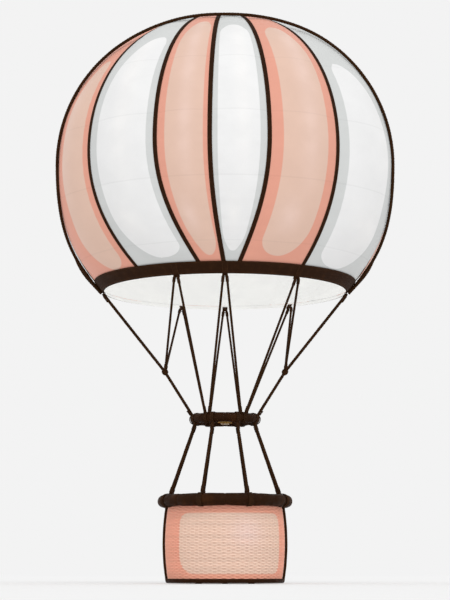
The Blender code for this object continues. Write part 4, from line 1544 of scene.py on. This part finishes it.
@dataclass
class Burner:
    """Load ring, gimbal, burner block and coil."""

    height: float = 2.833
    ring_radius: float = 0.527
    ring_tube: float = 0.087
    bush_section: tuple = ((0.0128, 0.0), (0.0128, 0.020), (0.024, 0.020), (0.024, 0.004), (0.032, 0.002),
                           (0.032, -0.004), (0.026, -0.006), (0.0145, -0.006))
    bush_reach: float = 0.004          # a bush's face under the ring's inner side
    gimbal_radius: float = 0.34
    gimbal_tube: float = 0.016
    pin_reach: tuple = (0.345, 0.462)
    collar: tuple = (0.0175, 0.352, 0.372)             # radius, and reach
    boss_section: tuple = ((0.0127, -0.025), (0.0127, 0.025), (0.0235, 0.025), (0.026, 0.022), (0.026, -0.022),
                           (0.0235, -0.025))
    pin: float = 0.012
    block_size: tuple = (0.15, 0.24, 0.05)
    block_drop: float = 0.055
    blocks: tuple = (((0.04, 0.08, 0.016), (0, 0.155, -0.062), 0.003),          # bar: size, middle and edge
                     ((0.04, 0.014, 0.09), (0, 0.19, -0.03), 0.004),            # cheek
                     ((0.02, 0.11, 0.012), (0.03, 0.055, -0.082), 0.004))       # lever
    rods: tuple = ((0.012, (0, 0.188, 0), (0, 0.371, 0), 24),                   # shaft: radius, ends and sides
                   (0.019, (0, 0.1975, 0), (0, 0.206, 0), 6),                   # nut
                   (0.012, (0.06, 0.05, -0.055), (0.112, 0.05, -0.055), 24),    # inlet
                   (0.014, (0.100, 0.05, -0.055), (0.125, 0.05, -0.055), 6))    # union
    jets: tuple = (0.06, 0.006, -0.035, -0.021)        # their ring's radius, their own, and their foot and tip
    coil_radius: float = 0.141
    coil_tube: float = 0.0068
    coil_turns: int = 7
    coil_foot: float = -0.0297
    coil_tall: float = 0.145
    can_section: tuple = ((0.129, 0.0), (0.129, 0.141), (0.1315, 0.143), (0.1325, 0.141), (0.1325, 0.0))

    def load_ring(self) -> None:
        """Padded ring with the gimbal's steel bushes."""
        cover = PaddedTube(self.ring_radius, self.height, self.ring_tube, RING_LACINGS, held=3.2, room=0.007,
                           cap=0.009, grid=(240, 24), crease=(0.0012, 90, 3, 0.35), seam=(1.25 * pi, 0.09, 0.004))
        thing = deliver(cover.build(), "load_ring_leather", Slot.LEATHER, HIDE, "load_ring")
        bushes = []
        for side in SIDES:
            bush = spun(self.bush_section, 24, origin=0.0)
            bush.rotation_euler = (0, side * pi / 2, 0)
            bush.location = (side * (self.ring_radius - self.ring_tube + self.bush_reach), 0, self.height - AIR_CENTRE)
            bushes.append(bush)
        deliver(joined(bushes), "load_ring_bushes", Slot.STEEL, STEEL)

    def gimbal(self) -> None:
        """Gimbal: a bent tube with turned pins and bosses."""
        level = self.height - AIR_CENTRE
        pieces = [spun(oval((self.gimbal_radius, self.height), (self.gimbal_tube, self.gimbal_tube), 16), 96)]
        for side in SIDES:
            for radius, *reach in ((self.pin, *self.pin_reach), self.collar):
                pieces.append(rod(radius, *[(side * along, 0, level) for along in reach]))
            boss = spun(self.boss_section, 32, origin=0.0)
            boss.rotation_euler = (pi / 2, 0, 0)
            boss.location = (0, side * self.gimbal_radius, level)
            pieces.append(boss)
        deliver(joined(pieces), "gimbal_tube", Slot.STEEL, STEEL, "gimbal_frame", body=Body.GIMBAL)

    def brass(self) -> None:
        """Brass block with its jets, inlets, levers and cheeks."""
        level = self.height - AIR_CENTRE
        pieces = [block(self.block_size, (0, 0, level - self.block_drop), 0.006)]
        for side in SIDES:
            turned = (side, side, 1)
            for size, centre, edge in self.blocks:
                pieces.append(block(size, np.multiply(centre, turned) + (0, 0, level), edge))
            for radius, *ends, sides in self.rods:
                pieces.append(rod(radius, *[np.multiply(spot, turned) + (0, 0, level) for spot in ends], sides))
        ring, radius, foot, tip = self.jets
        for x, y in oval((0, 0), (ring, ring), 8):
            pieces.append(rod(radius, (x, y, level + foot), (x, y, level + tip), 10, 0.001))
        deliver(joined(pieces), "burner_block_brass", Slot.BRASS, BRASS, "burner_block", body=Body.BURNER)

    def coil(self) -> None:
        """Coil of steel tube around a can."""
        foot = self.height + self.coil_foot
        step = np.linspace(0, 1, self.coil_turns * 40 + 1)
        level = foot + self.coil_tube + (self.coil_tall - 2 * self.coil_tube) * step
        tube = drawn([around(2 * pi * self.coil_turns * step, self.coil_radius, level)], self.coil_tube, 8)
        can = spun([(radius, foot + up) for radius, up in self.can_section], 72)
        deliver(joined([tube, can]), "burner_coil_tube", Slot.STEEL, STEEL, "burner_coil", body=Body.BURNER)

    def build(self) -> None:
        """Make the burner's pieces."""
        for make in (self.load_ring, self.gimbal, self.brass, self.coil):
            make()


@dataclass
class Basket:
    """Woven tub with its padded rim, hoop, floor, runners and tanks."""

    rim_height: float = 1.409
    rim_radius: float = 1.06
    rim_tube: float = 0.11
    belly: float = 1.045
    belly_height: float = 0.70
    curve: float = 0.125
    thick: float = 0.045
    foot: float = 0.0403
    stakes: int = 80
    stake: float = 0.006               # radius of a stake
    stake_grid: tuple = (9, 7)         # its points along and around
    weavers: int = 50
    rod_points: int = 9                # points around a rod
    rod_swing: float = 0.0118          # how far a rod goes in and out
    rod_half: float = 0.0072           # half of its thickness
    rod_tall: float = 0.99             # its height, as a share of the pitch
    weave_foot: float = 0.004          # lowest rod over the foot
    weave_spare: float = 0.006         # height that the rods leave free
    wall_ends: tuple = (0.002, 0.02)   # stakes and lining, over the foot and under the rim's middle
    lining: tuple = (0.0412, 0.0448)   # the lining's two faces, inside the wall's outer face
    lining_grid: tuple = (161, 25)     # its points around and up
    # Front and back panels of the wall: a paler heart inside a border of painted shade.
    patch_turns: tuple = (-49.0, 64.0)
    patch_levels: tuple = (0.165, 1.185)
    patch_corner: float = 0.17
    wide_corner: float = 0.30          # its lower left corner
    glow: tuple = (0.37, 0.28, 0.86, 0.24)             # painted highlight: middle and reach around, and the same up the wall
    hoop_section: tuple = ((0.0148, 0.085), (0.0208, 0.082), (0.0238, 0.073), (0.0228, 0.024), (0.0198, 0.015),
                           (0.0138, 0.012), (0.0008, 0.012), (0.0028, 0.085))   # out from the wall, and height
    lace: float = 0.0035
    lace_height: float = 0.068
    lace_steps: tuple = ((0.0263, 0.0), (0.0263, 0.012), (0.0243, 0.0), (0.0243, -0.012))  # each stitch's points
    lace_stitches: int = 80
    stay: float = 0.025
    stay_out: float = 0.012            # its middle over the wall's face
    stay_turn: float = 87.0
    stay_levels: tuple = (1.319, 0.03)
    floor_thick: float = 0.04
    floor_edge: float = 0.004
    runner_places: tuple = (-0.45, 0.0, 0.45)
    runner_size: tuple = (0.10, 1.56, 0.04)
    screw_rows: tuple = (-0.62, -0.31, 0.0, 0.31, 0.62)
    screw: tuple = (0.011, -0.001, 0.0022)             # radius, and foot and head over the floor
    tank_reach: float = 0.80
    tank_radius: float = 0.14
    tank_tall: float = 0.88
    tank_section: tuple = ((0, 0.93), (0.5, 0.93), (0.61, 1), (0.71, 1), (0.71, 0.92), (0.93, 0.88), (1, 0.82),
                           (1, 0.08), (0.93, 0.04), (0.86, 0.03), (0.86, 0), (0, 0))     # shares of both
    valve: tuple = ((0.022, (0, 0, -0.01), (0, 0, 0.03), 24, 0.0015),           # stem: radius, ends, sides and edge
                    (0.040, (0, 0, 0.034), (0, 0, 0.050), 20, 0.004),           # wheel
                    (0.012, (0, 0, 0.015), (-0.06, 0, 0.015), 24, 0.0015),      # outlet
                    (0.020, (-0.02, 0.05, -0.005), (-0.02, 0.05, 0.012), 24, 0.002))     # gauge
    strap_height: float = 0.55
    strap_section: tuple = ((0.0, 0.0225), (0.0045, 0.0225), (0.0055, 0.0195), (0.0055, -0.0195),
                            (0.0045, -0.0225), (0.0, -0.0225))
    buckle: tuple = (0.008, 0.055, 0.06)
    buckle_out: float = 0.006

    def wall_radius(self, height: object) -> object:
        """Outer radius of the wall at a height."""
        return self.belly - self.curve * (height - self.belly_height) ** 2

    def marks(self, turn: Grid, height: Grid) -> dict:
        """Painted-shade border, paler heart and painted highlight of the wall's front and back panels.

        Args:
            turn: Azimuths in radians.
            height: Heights.

        Returns:
            Attribute names and values.
        """
        left, right = (radians(t) for t in self.patch_turns)
        low, high = self.patch_levels
        aside = np.mod(turn - (left + right) / 2 + pi / 2, pi) - pi / 2
        side = ((right - left) / 2 - np.abs(aside)) * self.belly
        end = np.minimum(height - low, high - height)
        corner = np.where((aside < 0) & (height < (low + high) / 2), self.wide_corner, self.patch_corner)
        round_off = corner - np.hypot(np.clip(corner - side, 0, None), np.clip(corner - end, 0, None))
        patch = np.where((side < corner) & (end < corner), round_off, np.minimum(side, end))
        spot, wide, level, tall = self.glow
        glow = np.exp(-((np.mod(turn - spot + pi / 2, pi) - pi / 2) * self.belly / wide) ** 2
                      - ((height - level) / tall) ** 2)
        return {"patch": patch, "painted_highlight": glow}

    def wall(self) -> None:
        """Wall: upright stakes, rods woven in front of one and behind the next, and a lining of flat cane.

        The rods are 26 mm tall, about three times real ones, so that the weave shows.
        """
        luck = Random(7)
        low, top = self.foot + self.wall_ends[0], self.rim_height - self.wall_ends[1]
        pitch = (top - self.foot - self.weave_spare) / self.weavers
        turn = np.linspace(0, 2 * pi, self.stakes * 2 + 1)[:, None]
        angle = np.linspace(0, 2 * pi, self.rod_points)
        rods = []
        for number in range(self.weavers):
            level = self.foot + self.weave_foot + pitch * (number + 0.5)
            swing = self.rod_swing * np.cos(self.stakes / 2 * turn + pi * (number % 2) + pi / 4)
            radius = self.wall_radius(level) - self.thick / 2 + swing + self.rod_half * np.cos(angle)
            height = level + 0.5 * pitch * self.rod_tall * np.sin(angle) + 0 * turn
            marks = self.marks(turn + 0 * angle, height)
            marks["rod"] = luck.random() + 0.25 * np.sin(turn * 3 + luck.uniform(0, 6)) + 0 * angle
            rods.append(lofted(around(turn, radius, height), None, marks, weld=True))
        rows, points = self.stake_grid
        angle = np.linspace(0, 2 * pi, points)
        level = np.linspace(low, top, rows)[:, None] + 0 * angle
        reach = self.wall_radius(level) - self.thick / 2 + self.stake * np.cos(angle)
        for number in range(self.stakes):
            spot = 2 * pi * (number + 0.25) / self.stakes
            marks = self.marks(spot + 0 * level, level)
            marks["rod"] = np.full(level.shape, luck.random())
            rods.append(lofted(around(spot, reach, level, self.stake * np.sin(angle)), None, marks, weld=True))
        deliver(smooth(joined(rods), 70), "basket_wall_weave", Slot.WICKER, CANE, "basket_wall")
        turn = np.linspace(0, 2 * pi, self.lining_grid[0])[:, None]
        level = np.linspace(low, top, self.lining_grid[1])
        section = np.concatenate([level, level[::-1], level[:1]])
        inset = np.repeat((*self.lining, self.lining[0]), (len(level), len(level), 1))
        marks = self.marks(turn + 0 * section, section + 0 * turn)
        marks["rod"] = 0.3 + 0 * (turn + section)
        lining = lofted(around(turn, self.wall_radius(section) - inset, section), None, marks, weld=True)
        deliver(smooth(lining, 60), "basket_wall_lining", Slot.WICKER, CANE, "basket_wall")

    def rim(self) -> None:
        """Padded leather rim, sewn along its inner side."""
        cover = PaddedTube(self.rim_radius, self.rim_height, self.rim_tube, RIM_LACINGS, held=2.4, room=0.008,
                           cap=0.010, grid=(320, 28), crease=(0.0015, 110, 4, 0.3), seam=(0.75 * pi, 0.07, 0.005))
        thing = deliver(cover.build(), "basket_rim_leather", Slot.LEATHER, HIDE, "basket_rim")

    def hoop(self) -> None:
        """Hide hoop around the foot with its lacing."""
        wall = self.wall_radius(self.foot)
        hoop = spun([(wall + out, height) for out, height in self.hoop_section], 160)
        deliver(hoop, "base_hoop_hide", Slot.LEATHER, HIDE, "base_hoop")
        out, up = np.tile(self.lace_steps, (self.lace_stitches, 1)).T
        path = around(2 * pi * np.arange(len(out)) / len(out), wall + out, self.lace_height + up)
        deliver(drawn([path], self.lace, 4, closed=True), "base_hoop_lace", Slot.LEATHER, TWINE)

    def stays(self) -> None:
        """A rope down each side of the wall."""
        level = np.linspace(*self.stay_levels, 30)
        reach = self.wall_radius(level) + self.stay_out
        ropes = [Rigging().laid(around(side * radians(self.stay_turn), reach, level), self.stay) for side in SIDES]
        deliver(joined(ropes), "wall_stays", Slot.ROPE, ROPE)

    def floor(self) -> None:
        """Floor of ply boards with screws, and three runners with rounded noses."""
        edge = self.wall_radius(self.foot) - self.thick - 0.001
        top = self.foot + self.floor_thick
        cut = self.floor_edge
        outline = [(0.0, top), (edge - cut, top), (edge, top - cut), (edge, self.foot + cut), (edge - cut, self.foot),
                   (0.0, self.foot)]
        deliver(spun(outline, 120, closed=False), "basket_floor_ply", Slot.PLYWOOD, FLOORING, "basket_floor")
        level = top - AIR_CENTRE
        radius, foot, head = self.screw
        screws = [rod(radius, (across, along, level + foot), (across, along, level + head), 12, 0.0008)
                  for across in self.runner_places for along in self.screw_rows]
        deliver(joined(screws), "floor_screws", Slot.STEEL, FORGED)
        for number, across in enumerate(self.runner_places):
            node = "runner_%d" % (number + 1)
            runner = block(self.runner_size, (across, 0, self.runner_size[2] / 2 - AIR_CENTRE), 0.008)
            deliver(runner, node + "_ash", Slot.HARDWOOD, RUNNER, node)

    def tank(self, name: str, side: int) -> None:
        """Spun tank with collar, valve and gauge, held by a buckled strap.

        Args:
            name: Its side in words.
            side: -1 on the left, 1 on the right.
        """
        floor = self.foot + self.floor_thick + SEAT
        x = side * self.tank_reach
        outline = [(share * self.tank_radius, floor + level * self.tank_tall) for share, level in self.tank_section]
        tank = modified(spun(outline, 64, closed=False, centre=(x, 0.0)), "BEVEL", width=0.006, segments=2,
                        angle_limit=radians(40))
        deliver(smooth(tank), "tank_%s_spun" % name, Slot.ALUMINIUM, ALLOY, "tank_" + name)
        top = (x, 0, floor + self.tank_section[0][1] * self.tank_tall - AIR_CENTRE)
        valve = [rod(radius, *[np.multiply(spot, (side, 1, 1)) + top for spot in ends], sides, edge)
                 for radius, *ends, sides, edge in self.valve]
        deliver(joined(valve), "tank_%s_valve" % name, Slot.BRASS, BRASS)
        inner = self.tank_radius + 2 * SEAT
        section = [(inner + out, self.strap_height + up) for out, up in self.strap_section]
        strap = spun(section, 72, centre=(x, 0.0))
        buckle = block(self.buckle, (x - side * (inner + self.buckle_out), 0, self.strap_height - AIR_CENTRE))
        deliver(strap, "tank_strap_%s_webbing" % name, Slot.WEBBING, HIDE, "tank_strap_" + name)
        deliver(buckle, "tank_%s_buckle" % name, Slot.STEEL, STEEL)

    def build(self) -> None:
        """Make every piece of the basket."""
        for make in (self.wall, self.rim, self.hoop, self.stays, self.floor):
            make()
        for name, side in zip(("left", "right"), SIDES):
            self.tank(name, side)


@dataclass
class Studio:
    """Pale floor, soft light and the photograph's camera."""

    paper: str = "f3f3f3"
    floor_albedo: float = 0.873
    floor_radius: float = 400.0
    lights: tuple = (("soft key", 0.52, (48.0, 0.0, 5.0), 35.0), ("front fill", 0.35, (76.0, 0.0, 12.0), 60.0))
    camera_place: tuple = (0.0, -32.63, 0.15 - AIR_CENTRE)
    pitch: float = 8.349
    lens: float = 112.39

    def floor(self) -> None:
        """Make the floor and the sky that lights it."""
        world = bpy.data.worlds.new("pale studio")
        world.use_nodes = True
        world.node_tree.nodes["Background"].inputs[0].default_value = linear(self.paper)
        bpy.context.scene.world = world
        alone()
        bpy.ops.mesh.primitive_circle_add(vertices=96, radius=self.floor_radius, fill_type="NGON",
                                          location=(0, 0, -AIR_CENTRE))
        bpy.ops.object.transform_apply(location=True)
        floor = bpy.context.object
        floor.name = "studio_floor"
        look = bpy.data.materials.new("studio floor, matt paper")
        look.use_nodes = True
        values = {"Base Color": (*[self.floor_albedo] * 3, 1.0), "Roughness": 1.0, "Specular IOR Level": 0.0}
        for socket, value in values.items():
            look.node_tree.nodes["Principled BSDF"].inputs[socket].default_value = value
        floor.data.materials.append(look)

    def build(self) -> None:
        """Make the floor, the lights and the camera."""
        scene = bpy.context.scene
        scene.view_settings.view_transform = "Standard"
        self.floor()
        for name, energy, turns, spread in self.lights:
            bpy.ops.object.light_add(type="SUN", location=(-6, -12, 8), rotation=[radians(t) for t in turns])
            light = bpy.context.object
            light.name = name
            light.data.energy = energy
            light.data.angle = radians(spread)
        bpy.ops.object.camera_add(location=self.camera_place, rotation=(radians(90 + self.pitch), 0, 0))
        scene.camera = bpy.context.object
        scene.camera.data.lens = self.lens
        scene.camera.data.clip_end = 1000


def main() -> None:
    """Build the balloon's looks in order."""
    logging.basicConfig(level=logging.INFO, format="%(message)s")
    for part in (Envelope(), Rigging(), Burner(), Basket(), Studio()):
        part.build()
        log.info("%s is built", type(part).__name__)


if __name__ == "__main__":
    main()
